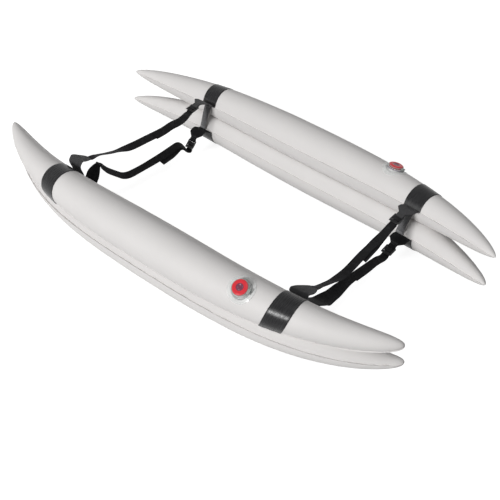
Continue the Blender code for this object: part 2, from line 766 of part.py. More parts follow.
def strap_points(level_name, end_name):
    """A strap's whole route: the run, round the middle bar, and the free tail on top of the run."""
    run = strap_run(level_name, end_name)
    matrix = buckle_matrix(level_name, end_name)
    over_bar = BUCKLE_THICKNESS / 2 + WEBBING_REACH
    turn = BUCKLE_ROUNDING + WEBBING_REACH
    inside = [Vector((0.0, y, z)) for y, z in (
        (BUCKLE_END, UNDER_TAIL),
        (MIDDLE_BAR_START - WEBBING_REACH, UNDER_TAIL),
        (MIDDLE_BAR_START - WEBBING_REACH, over_bar),
        (MIDDLE_BAR_END + WEBBING_REACH, over_bar),
        (MIDDLE_BAR_END + WEBBING_REACH, UNDER_BAR),
        (STRAP_ENTRY, UNDER_BAR),
    )]
    across = (matrix.to_3x3() @ Vector((-1.0, 0.0, 0.0))).normalized()
    back = list(reversed(run))
    lengths = route_lengths(back)
    tail = []
    for point, tangent, length in zip(back, tangents(back), lengths):
        if TAIL_START < length < TAIL_LENGTH:
            lift = UNDER_BAR - UNDER_TAIL + TAIL_LIFT * length / TAIL_LENGTH
            tail.append(point + across.cross(tangent).normalized() * lift)
    return run, [matrix @ point for point in filleted(inside, turn)], tail, across


def add_strap(level_name, end_name):
    """One length of webbing, sewn under the near tab and threaded through the far buckle."""
    along, _, _ = seam_directions(FLOAT_SIDES["near"], TUBE_LEVELS[level_name], end_name)
    run, inside, tail, across = strap_points(level_name, end_name)
    twist_end = route_lengths(run)[-1] * TWISTED_SHARE
    twist = radians(STRAP_TWISTS[level_name, end_name])
    directions = []
    lengths = route_lengths(run)
    for tangent, length in zip(tangents(run), lengths):
        share = length / lengths[-1]
        side = along.lerp(across, share)
        start = SEWN_OVERLAP
        if start < length < twist_end:
            angle = twist * sin(pi * (length - start) / (twist_end - start)) ** 2
            side = Matrix.Rotation(angle, 3, tangent) @ side
        directions.append(side)
    directions += [across] * (len(inside) + len(tail))
    points = run + inside + tail
    name = "_".join((level_name, end_name, "strap"))
    strip = ribbon(points, directions, [WEBBING_WIDTH] * len(points))
    shade_round(new_piece(name, strip, "webbing", FRAMES["near"]))


# Valve: its own frame has X along the tube and Z out of the skin
SEAL_BOTTOM = COLLAR_TOP + GAP
RIM_BOTTOM = SEAL_BOTTOM + SEAL_THICKNESS + GAP
RIM_TOP = RIM_BOTTOM + RIM_THICKNESS
NECK_TOP = RIM_TOP + NECK_HEIGHT
TETHER_BOTTOM = RIM_TOP + GAP
CAP_BOTTOM = TETHER_BOTTOM + TETHER_THICKNESS + GAP
CAP_TOP = CAP_BOTTOM + CAP_HEIGHT
INSERT_BOTTOM = GAP - COLLAR_DEPTH
SEAT_BOTTOM = INSERT_BOTTOM + SEAT_HEIGHT
SEAT_TOP = SEAT_BOTTOM + SEAT_THICKNESS
FLAP_TOP = SEAT_BOTTOM - GAP
SEAL_RADIUS = RIM_RADIUS - 2 * GAP
CAP_GROOVE_BOTTOM = CAP_BOTTOM + 0.0016
CAP_GROOVE_RADIUS = CAP_RADIUS - CAP_GROOVE_DEPTH


def turned(name, profile, finish, frame, closed=True):
    """A turned solid: a profile of radius and height, down its outer side, swept round Z."""
    mesh = bpy.data.meshes.new(name)
    edges = [(i, i + 1) for i in range(len(profile) - 1)]
    if closed:
        edges.append((len(profile) - 1, 0))
    mesh.from_pydata([(radius, 0.0, height) for radius, height in profile], edges, [])
    piece = new_piece(name, mesh, finish, frame, world_points=False)
    screw = piece.modifiers.new("turn", "SCREW")
    screw.steps = TURNED_STEPS
    screw.render_steps = TURNED_STEPS
    screw.use_merge_vertices = True
    screw.merge_threshold = 0.00001
    screw.use_smooth_shade = True
    return piece


def valve_matrix(float_name):
    """A valve's place on the skin of its upper tube."""
    side, level = FLOAT_SIDES[float_name], TUBE_LEVELS["upper"]
    x, angle = VALVE_PLACES[float_name]
    step = FLANGE_RADIUS / 2
    along = tube_point(side, level, x + step, angle) - tube_point(side, level, x - step, angle)
    around = tube_point(side, level, x, angle + 10) - tube_point(side, level, x, angle - 10)
    along = along.normalized()
    outward = along.cross(around * side).normalized()
    across = outward.cross(along)
    turn = Matrix((along, across, outward)).transposed().to_4x4()
    return Matrix.Translation(tube_point(side, level, x, angle)) @ turn


def cylinder(name, radius, bottom, top, finish, frame, steps=TURNED_STEPS):
    """A plain cylinder on a frame's Z axis."""
    bm = bmesh.new()
    bmesh.ops.create_cone(
        bm, cap_ends=True, segments=steps, radius1=radius, radius2=radius, depth=top - bottom,
        matrix=Matrix.Translation((0.0, 0.0, (top + bottom) / 2)),
    )
    return new_piece(name, bm, finish, frame, world_points=False)


def skin_height(float_name, radius, turn):
    """The skin's height in its valve's frame, at a radius and a turn round the valve."""
    side, level = FLOAT_SIDES[float_name], TUBE_LEVELS["upper"]
    x, angle = VALVE_PLACES[float_name]
    station = x + radius * cos(turn)
    around = degrees(asin(radius * sin(turn) / tube_radius(station)))
    point = tube_point(side, level, station, angle + side * around)
    return (valve_matrix(float_name).inverted() @ point).z


def flange_ring(float_name, turn):
    """One section of a valve's flange: a collar in the pocket and a skirt that follows the skin."""
    bore = THREAD_RADIUS + GAP
    at_collar = skin_height(float_name, COLLAR_RADIUS, turn) + FLANGE_CLEARANCE
    at_edge = skin_height(float_name, FLANGE_RADIUS, turn) + FLANGE_CLEARANCE
    profile = [
        (bore, COLLAR_TOP), (COLLAR_RADIUS, COLLAR_TOP), (COLLAR_RADIUS, at_collar + FLANGE_THICKNESS),
        (FLANGE_RADIUS, at_edge + FLANGE_THICKNESS), (FLANGE_RADIUS, at_edge), (COLLAR_RADIUS, at_collar),
        (COLLAR_RADIUS, -COLLAR_DEPTH), (bore, -COLLAR_DEPTH),
    ]
    matrix = valve_matrix(float_name)
    return [matrix @ Vector((radius * cos(turn), radius * sin(turn), height)) for radius, height in profile]


def add_valve_flange(float_name, frame):
    """The clear weld-in flange that the insert screws into."""
    bm = bmesh.new()
    turns = [2 * pi * step / TURNED_STEPS for step in range(TURNED_STEPS)]
    rings = [[bm.verts.new(point) for point in flange_ring(float_name, turn)] for turn in turns]
    count = len(rings[0])
    for ring, following in zip(rings, rings[1:] + rings[:1]):
        for i in range(count):
            j = (i + 1) % count
            bm.faces.new((ring[i], ring[j], following[j], following[i]))
    shade_round(new_piece(float_name + "_valve_flange", bm, "clear_vinyl", frame))


def add_valve_insert(float_name, frame):
    """The threaded insert with its rim, neck and pierced seat."""
    hole = FLAP_STEM_RADIUS + GAP
    bore = VALVE_BORE_RADIUS
    insert = turned(
        float_name + "_valve_insert",
        [
            (bore, NECK_TOP), (NECK_RADIUS, NECK_TOP), (NECK_RADIUS, RIM_TOP), (RIM_RADIUS, RIM_TOP),
            (RIM_RADIUS, RIM_BOTTOM), (THREAD_RADIUS, RIM_BOTTOM), (THREAD_RADIUS, INSERT_BOTTOM),
            (bore + 0.002, INSERT_BOTTOM), (bore + 0.002, SEAT_BOTTOM), (hole, SEAT_BOTTOM),
            (hole, SEAT_TOP), (bore, SEAT_TOP),
        ],
        "pale_plastic", frame,
    )
    for index in range(AIR_HOLE_COUNT):
        turn = 2 * pi * index / AIR_HOLE_COUNT
        name = float_name + "_valve_air_hole_" + str(index + 1)
        bottom, top = SEAT_BOTTOM - SEAT_THICKNESS / 2, SEAT_TOP + SEAT_THICKNESS / 2
        drill = cylinder(name, AIR_HOLE_RADIUS, bottom, top, "pale_plastic", frame, HOLE_STEPS)
        drill.location = (AIR_HOLE_CIRCLE * cos(turn), AIR_HOLE_CIRCLE * sin(turn), 0.0)
        combine(insert, drill, "DIFFERENCE")


def add_valve_flap(float_name, frame):
    """The rubber mushroom flap under the seat, held by its stem's bulb."""
    bulb = FLAP_STEM_RADIUS + 0.0012
    radius = VALVE_BORE_RADIUS + 0.0008
    bottom = FLAP_TOP - FLAP_THICKNESS
    turned(
        float_name + "_valve_flap",
        [
            (0.0, SEAT_TOP + 0.0030), (bulb, SEAT_TOP + GAP), (FLAP_STEM_RADIUS, SEAT_TOP + GAP),
            (FLAP_STEM_RADIUS, FLAP_TOP), (radius, FLAP_TOP), (radius, FLAP_TOP - FLAP_THICKNESS / 2),
            (0.0, bottom),
        ],
        "purple_rubber", frame, closed=False,
    )


def add_valve_cap(float_name, frame):
    """The screw cap: a shallow dome with a tether groove and a recessed round centre."""
    cavity = NECK_RADIUS + GAP
    inside_top = CAP_TOP - CAP_TOP_THICKNESS
    groove_top = CAP_GROOVE_BOTTOM + CAP_GROOVE_WIDTH
    cap = turned(
        float_name + "_valve_cap",
        [
            (0.0, CAP_TOP - CAP_DISC_RECESS), (CAP_DISC_RADIUS, CAP_TOP - CAP_DISC_RECESS),
            (CAP_DISC_RADIUS, CAP_TOP), (CAP_RADIUS - 0.0045, CAP_TOP - 0.0004),
            (CAP_RADIUS - 0.0012, CAP_TOP - 0.0012), (CAP_RADIUS, CAP_TOP - 0.0025), (CAP_RADIUS, groove_top),
            (CAP_GROOVE_RADIUS, groove_top), (CAP_GROOVE_RADIUS, CAP_GROOVE_BOTTOM),
            (CAP_RADIUS, CAP_GROOVE_BOTTOM), (CAP_RADIUS, CAP_BOTTOM), (cavity, CAP_BOTTOM),
            (cavity, inside_top), (0.0, inside_top),
        ],
        "red_plastic", frame, closed=False,
    )
    shade_round(cap)


def add_valve_tether(float_name, frame):
    """The tether: a ring round the neck, a ring in the cap's groove and the strap between them."""
    inner = NECK_RADIUS + GAP
    outer = inner + TETHER_RING_WIDTH
    top = TETHER_BOTTOM + TETHER_THICKNESS
    tether = turned(
        float_name + "_valve_tether",
        [(inner, top), (outer, top), (outer, TETHER_BOTTOM), (inner, TETHER_BOTTOM)],
        "tether", frame,
    )
    groove_top = CAP_GROOVE_BOTTOM + CAP_GROOVE_WIDTH - GAP
    groove_bottom = CAP_GROOVE_BOTTOM + GAP
    cap_inner = CAP_GROOVE_RADIUS + GAP
    cap_outer = CAP_RADIUS + TETHER_THICKNESS
    cap_ring = turned(
        float_name + "_valve_tether_cap_ring",
        [
            (cap_inner, groove_top), (cap_outer, groove_top),
            (cap_outer, groove_bottom), (cap_inner, groove_bottom),
        ],
        "tether", frame,
    )
    combine(tether, cap_ring, "UNION")
    low = TETHER_BOTTOM + TETHER_THICKNESS / 2
    high = (groove_top + groove_bottom) / 2
    first, last = inner + TETHER_THICKNESS, cap_outer - TETHER_THICKNESS / 2
    grip = flat_strip(
        [Vector((first, 0.0, low)), Vector((TETHER_REACH, 0.0, low)),
         Vector((TETHER_REACH, 0.0, high)), Vector((last, 0.0, high))],
        (high - low) / 2.2, TETHER_WIDTH, TETHER_THICKNESS * 0.9,
    )
    grip_piece = new_piece(float_name + "_valve_tether_grip", grip, "tether", frame, world_points=False)
    combine(tether, grip_piece, "UNION")


def add_valve(float_name, tube):
    """A whole valve, set in a pocket in its tube."""
    frame = new_frame(float_name + "_valve_frame", valve_matrix(float_name), FRAMES[float_name])
    bore = COLLAR_RADIUS + GAP
    pocket = turned(
        float_name + "_valve_pocket",
        [(0.0, POCKET_DEPTH), (bore, POCKET_DEPTH), (bore, -POCKET_DEPTH), (0.0, -POCKET_DEPTH)],
        "vinyl", frame, closed=False,
    )
    combine(tube, pocket, "DIFFERENCE")
    add_valve_flange(float_name, frame)
    seal_inner = SEAL_RADIUS - SEAL_WIDTH
    seal_top = SEAL_BOTTOM + SEAL_THICKNESS
    turned(
        float_name + "_valve_seal",
        [
            (seal_inner, seal_top), (SEAL_RADIUS, seal_top),
            (SEAL_RADIUS, SEAL_BOTTOM), (seal_inner, SEAL_BOTTOM),
        ],
        "purple_rubber", frame,
    )
    add_valve_insert(float_name, frame)
    add_valve_flap(float_name, frame)
    add_valve_cap(float_name, frame)
    add_valve_tether(float_name, frame)


def build():
    """Make every piece of both floats, the straps and the valves."""
    upper_tubes = {}
    for float_name in FLOAT_SIDES:
        upper_tubes[float_name] = add_tube(float_name, "upper")
        add_tube(float_name, "lower")
        for end_name in BAND_POSITIONS:
            add_tie(float_name, end_name)
            for level_name in TUBE_LEVELS:
                add_band(float_name, level_name, end_name)
    for end_name in BAND_POSITIONS:
        for level_name in TUBE_LEVELS:
            add_near_tab(level_name, end_name)
            add_far_tab(level_name, end_name)
            add_buckle(level_name, end_name)
            add_strap(level_name, end_name)
    for float_name, tube in upper_tubes.items():
        add_valve(float_name, tube)


build()
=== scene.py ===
"""Paddleboard stabilizer: the finished look of two inflated floats, their webbing, locks and valves.

Row frame, metres, +Z up. +X runs along the floats and +Y from the near float to the far one.
"""

import json
import logging
from dataclasses import dataclass, field
from enum import Enum
from math import asin, cos, degrees, pi, radians, sin

import bmesh
import bpy
import numpy as np
from mathutils import Matrix, Vector, noise

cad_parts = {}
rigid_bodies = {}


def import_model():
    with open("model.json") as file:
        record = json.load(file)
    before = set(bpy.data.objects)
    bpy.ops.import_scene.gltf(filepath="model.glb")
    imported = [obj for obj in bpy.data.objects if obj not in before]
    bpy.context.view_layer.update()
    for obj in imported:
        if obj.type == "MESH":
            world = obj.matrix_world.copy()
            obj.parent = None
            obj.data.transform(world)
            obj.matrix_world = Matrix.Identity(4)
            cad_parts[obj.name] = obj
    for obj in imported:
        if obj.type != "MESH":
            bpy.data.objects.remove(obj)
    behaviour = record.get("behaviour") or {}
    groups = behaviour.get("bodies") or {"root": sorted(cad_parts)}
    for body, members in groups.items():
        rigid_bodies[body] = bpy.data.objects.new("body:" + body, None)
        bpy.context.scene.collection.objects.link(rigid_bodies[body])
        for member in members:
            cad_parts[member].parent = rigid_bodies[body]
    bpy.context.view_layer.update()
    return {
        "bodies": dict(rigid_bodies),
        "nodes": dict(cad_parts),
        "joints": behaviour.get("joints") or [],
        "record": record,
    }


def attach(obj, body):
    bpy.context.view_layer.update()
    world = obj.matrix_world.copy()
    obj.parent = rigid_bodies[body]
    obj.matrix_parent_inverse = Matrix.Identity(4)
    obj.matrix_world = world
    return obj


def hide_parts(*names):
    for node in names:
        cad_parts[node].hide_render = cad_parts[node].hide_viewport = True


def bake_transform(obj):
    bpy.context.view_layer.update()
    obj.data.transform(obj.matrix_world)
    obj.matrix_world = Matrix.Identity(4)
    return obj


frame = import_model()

LOG = logging.getLogger("stabilizer")
UP = Vector((0.0, 0.0, 1.0))
WHITE = (1.0, 1.0, 1.0, 1.0)
DEGREES_PER_RADIAN = 57.3

# Short names for long types
Outline = list[tuple[float, float]]
Frames = list[tuple[Vector, Vector, Vector]]
Array = np.ndarray
Mesh = bpy.types.Mesh
Node = bpy.types.Node
Socket = bpy.types.NodeSocket
Tree = bpy.types.NodeTree

# Camera and stage
CAMERA_AZIMUTH = radians(42.36)
CAMERA_ELEVATION = radians(40.24)
CAMERA_PLACE = Vector((1.3204, -1.3775, 1.5197))
CAMERA_LENS = 54.72
SENSOR_WIDTH = 36.0
FLOOR_SIZE = 40.0

# Clearances
GAP = 0.0003
SKIN_GAP = 0.0009


class FloatName(Enum):
    """The two floats, named from the camera."""

    NEAR = "near"
    FAR = "far"

    @property
    def side(self) -> int:
        """1 where the board lies towards +Y, and -1 where it lies towards -Y."""
        return 1 if self is FloatName.NEAR else -1

    @property
    def body(self) -> str:
        """The CAD body that the float's pieces ride on."""
        return self.value + "_float"


class Level(Enum):
    """The two tubes of a float, and the straps that go with them."""

    UPPER = "upper"
    LOWER = "lower"

    @property
    def sign(self) -> int:
        """1 for upper and -1 for lower."""
        return 1 if self is Level.UPPER else -1


class End(Enum):
    """The two places along a float that carry webbing, as the camera sees them."""

    LEFT = "left"
    RIGHT = "right"


Site = tuple[Level, End]
SITES = tuple((level, end) for level in Level for end in End)
UPPER_LEFT, UPPER_RIGHT, LOWER_LEFT, LOWER_RIGHT = SITES


# Names, places and meshes


def named(*parts: Enum | str) -> str:
    """The name of a piece, node or body.

    Args:
        parts: Words and named options, in their order.

    Returns:
        The name, with underscores between its parts.
    """
    return "_".join(part.value if isinstance(part, Enum) else part for part in parts)


def direction(azimuth: float, elevation: float) -> Vector:
    """The way out from the object to a lamp or the camera.

    Args:
        azimuth: Turn from -Y towards +X, in radians.
        elevation: Angle above the floor, in radians.

    Returns:
        A unit vector.
    """
    return Vector((sin(azimuth) * cos(elevation), -cos(azimuth) * cos(elevation), sin(elevation)))


def standing(place: Vector, *axes: Vector) -> Matrix:
    """A frame from its place and its three axes.

    Args:
        place: Where its origin is.
        axes: Its X, Y and Z as unit vectors.

    Returns:
        The matrix.
    """
    return Matrix.Translation(place) @ Matrix(axes).transposed().to_4x4()


def put_in_scene(name: str, data: bpy.types.ID | None) -> bpy.types.Object:
    """A new object in the scene.

    Args:
        name: The object's name.
        data: Its mesh, curve, lamp or camera.

    Returns:
        The object.
    """
    made = bpy.data.objects.new(name, data)
    bpy.context.scene.collection.objects.link(made)
    return made


def grid_mesh(points: Array, uv: Array, caps: bool = False, sharp: float | None = None) -> Mesh:
    """A mesh from a grid of points, with no face joining its last column to its first.

    Args:
        points: Rows by columns by 3, in metres.
        uv: Rows by columns by 2, in metres along the piece's own surface.
        caps: Whether the first and last rows are closed by a face each.
        sharp: The angle in degrees above which an edge is sharp, or None for soft edges only.

    Returns:
        The mesh, smooth shaded.
    """
    rows, columns = points.shape[:2]
    index = np.arange(rows * columns).reshape(rows, columns)
    corners = np.stack([index[:-1, :-1], index[:-1, 1:], index[1:, 1:], index[1:, :-1]], axis=-1)
    faces = corners.reshape(-1, 4).tolist()
    if caps:
        faces.append(index[0, ::-1].tolist())
        faces.append(index[-1].tolist())
    mesh = bpy.data.meshes.new("surface")
    mesh.from_pydata(points.reshape(-1, 3).tolist(), [], faces)
    layer = mesh.uv_layers.new(name="surface")
    used = np.zeros(len(mesh.loops), dtype=np.int32)
    mesh.loops.foreach_get("vertex_index", used)
    layer.data.foreach_set("uv", uv.reshape(-1, 2)[used].astype(np.float32).ravel())
    mesh.shade_smooth()
    if sharp is not None:
        mesh.set_sharp_from_angle(angle=radians(sharp))
    return mesh


def joined(meshes: list[Mesh], look_out: bool = False) -> Mesh:
    """One mesh out of several, which keeps their first UV layer.

    Args:
        meshes: The meshes to put together.
        look_out: Whether all faces are turned to look outwards.

    Returns:
        The new mesh.
    """
    bm = bmesh.new()
    for mesh in meshes:
        bm.from_mesh(mesh)
    if look_out:
        bmesh.ops.recalc_face_normals(bm, faces=bm.faces)
    whole = bpy.data.meshes.new("joined")
    bm.to_mesh(whole)
    bm.free()
    return whole


def turned_mesh(profile: Outline, steps: int = 96, ribs: int = 0, rib_depth: float = 0.0,
                rib_rows: tuple[int, ...] = ()) -> Mesh:
    """A turned solid round Z, with ribs down some rows of its profile.

    Args:
        profile: Radius and height, from the top's middle outwards and down.
        steps: Facets round the axis.
        ribs: How many ribs go round.
        rib_depth: How far the ribs go in, in metres.
        rib_rows: The profile's rows that are ribbed.

    Returns:
        The mesh.
    """
    turns = np.linspace(0.0, 2 * pi, steps + 1)
    ones = np.ones(steps + 1)
    points = np.zeros((len(profile), steps + 1, 3))
    uv = np.zeros((len(profile), steps + 1, 2))
    travelled = 0.0
    for row, (radius, height) in enumerate(profile):
        if row:
            last = profile[row - 1]
            travelled += float(np.hypot(radius - last[0], height - last[1]))
        reach = radius * ones
        if row in rib_rows:
            reach = radius - rib_depth * (0.5 + 0.5 * np.cos(turns * ribs)) ** 2
        points[row] = np.stack([reach * np.cos(turns), reach * np.sin(turns), height * ones], axis=-1)
        uv[row] = np.stack([turns * radius, travelled * ones], axis=-1)
    return grid_mesh(points, uv, sharp=50)


def rounded_profile(corners: Outline, radius: float, steps: int = 4) -> Outline:
    """A profile whose inner corners are rounded.

    Args:
        corners: The corner points.
        radius: The largest rounding, which short edges make smaller.
        steps: Points in each rounding.

    Returns:
        The rounded profile.
    """
    made = [corners[0]]
    for before, corner, after in zip(corners, corners[1:], corners[2:]):
        first, middle, last = (Vector((*place, 0.0)) for place in (before, corner, after))
        reach = min(radius, (first - middle).length / 2, (last - middle).length / 2)
        start = middle + (first - middle).normalized() * reach
        end = middle + (last - middle).normalized() * reach
        for step in range(steps + 1):
            share = step / steps
            place = start.lerp(middle, share).lerp(middle.lerp(end, share), share)
            made.append((place.x, place.y))
    made.append(corners[-1])
    return made


def mirrored(half: Outline) -> Outline:
    """The other half of an outline that is the same on both sides.

    Args:
        half: Its first half, of places across and any values.

    Returns:
        Its second half, in the order that goes on from the first.
    """
    return [(-place, value) for place, value in reversed(half)]


def cut_route(points: list[Vector], rounds: int) -> list[Vector]:
    """A route whose corners are cut again and again, with its ends kept.

    Args:
        points: The corner points.
        rounds: How often the corners are cut.

    Returns:
        The smooth route.
    """
    for _ in range(rounds):
        route = [points[0]]
        for start, end in zip(points, points[1:]):
            route += [start.lerp(end, 0.25), start.lerp(end, 0.75)]
        points = route + [points[-1]]
    return points


def filleted(points: list[Vector], radius: float, steps: int = 8) -> list[Vector]:
    """A flat route whose corners are arcs of one radius.

    Args:
        points: The corner points.
        radius: The arcs' radius.
        steps: Points in each arc.

    Returns:
        The route.
    """
    route = [points[0]]
    for before, corner, after in zip(points, points[1:], points[2:]):
        incoming = (corner - before).normalized()
        outgoing = (after - corner).normalized()
        turn = incoming.angle(outgoing)
        setback = radius * (sin(turn / 2) / cos(turn / 2))
        inward = (outgoing - incoming).normalized()
        centre = corner + inward * (radius / cos(turn / 2))
        first = corner - incoming * setback - centre
        last = corner + outgoing * setback - centre
        for step in range(steps + 1):
            share = step / steps
            route.append(centre + (first * sin((1 - share) * turn) + last * sin(share * turn)) / sin(turn))
    route.append(points[-1])
    return route


def route_lengths(points: list[Vector]) -> list[float]:
    """The distance along a route to each of its points.

    Args:
        points: The route.

    Returns:
        One distance for each point, in metres.
    """
    lengths = [0.0]
    for start, end in zip(points, points[1:]):
        lengths.append(lengths[-1] + (end - start).length)
    return lengths


def tangents(points: list[Vector]) -> list[Vector]:
    """The direction of a route at each of its points.

    Args:
        points: The route.

    Returns:
        Unit vectors.
    """
    last = len(points) - 1
    return [(points[min(i + 1, last)] - points[max(i - 1, 0)]).normalized() for i in range(last + 1)]


def smooth_step(value: Array | float) -> Array | float:
    """A share that eases in and out.

    Args:
        value: Any number, taken into 0 to 1 first.

    Returns:
        The eased share.
    """
    share = np.clip(value, 0.0, 1.0)
    return share * share * (3 - 2 * share)


def eased(table: tuple[tuple[float, float], ...], share: float) -> float:
    """A value read from a table, eased from each row to the next.

    Args:
        table: Pairs of share and value, by rising share.
        share: Where it is read.

    Returns:
        The value.
    """
    for (start, first), (end, last) in zip(table, table[1:]):
        if share <= end:
            return first + (last - first) * float(smooth_step((share - start) / (end - start)))
    return table[-1][1]


def wave(place: Array, scale: float, seed: float) -> Array:
    """Smooth random height along a line.

    Args:
        place: Distances, in metres.
        scale: Waves in each metre.
        seed: Which random line it is.

    Returns:
        Heights from about -1 to 1.
    """
    return np.array([noise.noise(Vector((float(x) * scale, seed, 0.37 * seed))) for x in place]) * 2


# Shader groups and finishes


class NodeSheet:
    """Adds and links the nodes of one tree."""

    def __init__(self, tree: Tree) -> None:
        """Start on a material's, world's or group's tree."""
        self.tree = tree

    def feed(self, socket: Socket, value: object) -> None:
        """Set an input or link it.

        Args:
            socket: The input.
            value: A number, tuple or output socket.
        """
        if isinstance(value, Socket):
            self.tree.links.new(value, socket)
        else:
            socket.default_value = value

    def fill(self, node: Node, **inputs: object) -> Node:
        """Set or link a node's inputs. Underscores in a name stand for spaces.

        Args:
            node: The node.
            inputs: A number, tuple or output socket for each input.

        Returns:
            The same node.
        """
        for name, value in inputs.items():
            self.feed(node.inputs[name.replace("_", " ")], value)
        return node

    def node(self, kind: str, **inputs: object) -> Node:
        """A new node of a kind, filled with its inputs."""
        return self.fill(self.tree.nodes.new(kind), **inputs)

    def math(self, operation: str, first: object, second: object = 0.0) -> Socket:
        """A sum, product or other operation.

        Args:
            operation: The operation's name.
            first: The first number or socket.
            second: The second one.

        Returns:
            The result.
        """
        made = self.tree.nodes.new("ShaderNodeMath")
        made.operation = operation
        self.feed(made.inputs[0], first)
        self.feed(made.inputs[1], second)
        return made.outputs[0]

    def spread(self, value: object, low: float, high: float, to_low: float = 0.0,
               to_high: float = 1.0) -> Socket:
        """A value taken from one range to another, and kept within it.

        Args:
            value: The socket.
            low: Where the value's range starts.
            high: Where it ends.
            to_low: What the start becomes.
            to_high: What the end becomes.

        Returns:
            The result.
        """
        made = self.tree.nodes.new("ShaderNodeMapRange")
        for place, number in enumerate((value, low, high, to_low, to_high)):
            self.feed(made.inputs[place], number)
        return made.outputs[0]

    def mix(self, share: object, first: object, second: object) -> Socket:
        """A colour between two colours.

        Args:
            share: 0 for the first and 1 for the second.
            first: A colour or socket.
            second: A colour or socket.

        Returns:
            The colour.
        """
        made = self.tree.nodes.new("ShaderNodeMix")
        made.data_type = "RGBA"
        self.fill(made, Factor=share, A=first, B=second)
        return made.outputs["Result"]

    def clouds(self, vector: object, scale: float, detail: float = 3.0, roughness: float = 0.5) -> Socket:
        """Cloudy noise about 0.5, from its scale in a metre, its octaves and their roughness."""
        made = self.node("ShaderNodeTexNoise", Vector=vector, Scale=scale, Detail=detail, Roughness=roughness)
        return made.outputs["Fac"]

    def stretched(self, vector: object, scale: tuple[float, float, float]) -> Socket:
        """Coordinates multiplied axis by axis.

        Args:
            vector: The coordinates.
            scale: A factor for each axis.

        Returns:
            The new coordinates.
        """
        made = self.tree.nodes.new("ShaderNodeVectorMath")
        made.operation = "MULTIPLY"
        self.feed(made.inputs[0], vector)
        self.feed(made.inputs[1], scale)
        return made.outputs[0]

    def effect(self, group: str, vector: object, **numbers: float) -> Node:
        """A shared effect, placed in this tree.

        Args:
            group: The group's name.
            vector: Where it is read.
            numbers: Its number inputs.

        Returns:
            The group's node.
        """
        made = self.tree.nodes.new("ShaderNodeGroup")
        made.node_tree = EFFECTS[group]
        return self.fill(made, Vector=vector, **numbers)

    def bump(self, height: object, distance: float, **normal: Socket) -> Socket:
        """A height as a normal. A height of 1 is the distance in metres, and it adds to a Normal if given."""
        made = self.node("ShaderNodeBump", Height=height, Distance=distance, Strength=1.0, **normal)
        return made.outputs["Normal"]

    def background_rays(self) -> Socket:
        """1 for the rays that see a white background, from the camera, gloss or glass, and 0 for the rest.

        Returns:
            The share.
        """
        path = self.node("ShaderNodeLightPath")
        seen = self.math("MAXIMUM", path.outputs["Is Camera Ray"], path.outputs["Is Glossy Ray"])
        return self.math("MAXIMUM", seen, path.outputs["Is Transmission Ray"])


def effect_group(name: str, numbers: tuple[str, ...],
                 outputs: tuple[str, ...]) -> tuple[NodeSheet, Node, Node]:
    """A new shader group with a vector input and number inputs and outputs.

    Args:
        name: The group's name.
        numbers: The names of its number inputs.
        outputs: The names of its outputs.

    Returns:
        The group's sheet, its input node and its output node.
    """
    tree = bpy.data.node_groups.new(name, "ShaderNodeTree")
    tree.interface.new_socket(name="Vector", in_out="INPUT", socket_type="NodeSocketVector")
    for number in numbers:
        tree.interface.new_socket(name=number, in_out="INPUT", socket_type="NodeSocketFloat")
    for output in outputs:
        tree.interface.new_socket(name=output, in_out="OUTPUT", socket_type="NodeSocketFloat")
    sheet = NodeSheet(tree)
    return sheet, sheet.node("NodeGroupInput"), sheet.node("NodeGroupOutput")


def weave_group() -> Tree:
    """Threads over and under each other: height, and how deep a spot lies between threads.

    Returns:
        The group.
    """
    sheet, given, result = effect_group("woven_threads", ("Across", "Along"), ("Height", "Depth"))
    place = given.outputs["Vector"]
    parts = sheet.node("ShaderNodeSeparateXYZ", Vector=place)
    wobble = sheet.math("MULTIPLY", sheet.clouds(place, 220.0, 1.0), 0.9)
    cells, threads = [], []
    for axis, width in (("X", "Across"), ("Y", "Along")):
        count = sheet.math("ADD", sheet.math("DIVIDE", parts.outputs[axis], given.outputs[width]), wobble)
        cells.append(sheet.math("FLOOR", count))
        threads.append(sheet.math("ABSOLUTE", sheet.math("SINE", sheet.math("MULTIPLY", count, pi))))
    pairs = sheet.math("MULTIPLY", sheet.math("ADD", *cells), 0.5)
    over = sheet.math("MULTIPLY", sheet.math("FRACT", pairs), 2.0)
    heights = []
    for thread, on_top in zip(threads, (over, sheet.math("SUBTRACT", 1.0, over))):
        lifted = sheet.math("ADD", sheet.math("MULTIPLY", on_top, 0.45), 0.55)
        heights.append(sheet.math("MULTIPLY", thread, lifted))
    height = sheet.math("MAXIMUM", *heights)
    # The finishes use Depth to paint shade between the threads.
    sheet.fill(result, Height=height, Depth=sheet.spread(height, 0.35, 0.9, 1.0, 0.0))
    return sheet.tree


def soft_skin_group() -> Tree:
    """Air-filled vinyl: long faint ripples, fine orange peel and a slight mottle.

    Returns:
        The group.
    """
    sheet, given, result = effect_group("soft_skin", (), ("Height", "Mottle"))
    place = given.outputs["Vector"]
    ripples = sheet.clouds(sheet.stretched(place, (5.0, 16.0, 16.0)), 1.0, 4.0, 0.55)
    peel = sheet.math("MULTIPLY", sheet.clouds(place, 900.0, 2.0), 0.03)
    mottle = sheet.spread(sheet.clouds(place, 9.0, 5.0, 0.6), 0.3, 0.7)
    sheet.fill(result, Height=sheet.math("ADD", ripples, peel), Mottle=mottle)
    return sheet.tree


def grain_group() -> Tree:
    """Moulded plastic: a fine pitted grain and flow marks.

    Returns:
        The group.
    """
    sheet, given, result = effect_group("moulded_grain", ("Scale",), ("Height", "Flow"))
    place = given.outputs["Vector"]
    pits = sheet.node("ShaderNodeTexVoronoi", Vector=place, Scale=given.outputs["Scale"]).outputs["Distance"]
    flow = sheet.clouds(sheet.stretched(place, (1.0, 3.0, 1.0)), 120.0, 3.0)
    sheet.fill(result, Height=pits, Flow=sheet.spread(flow, 0.35, 0.65))
    return sheet.tree


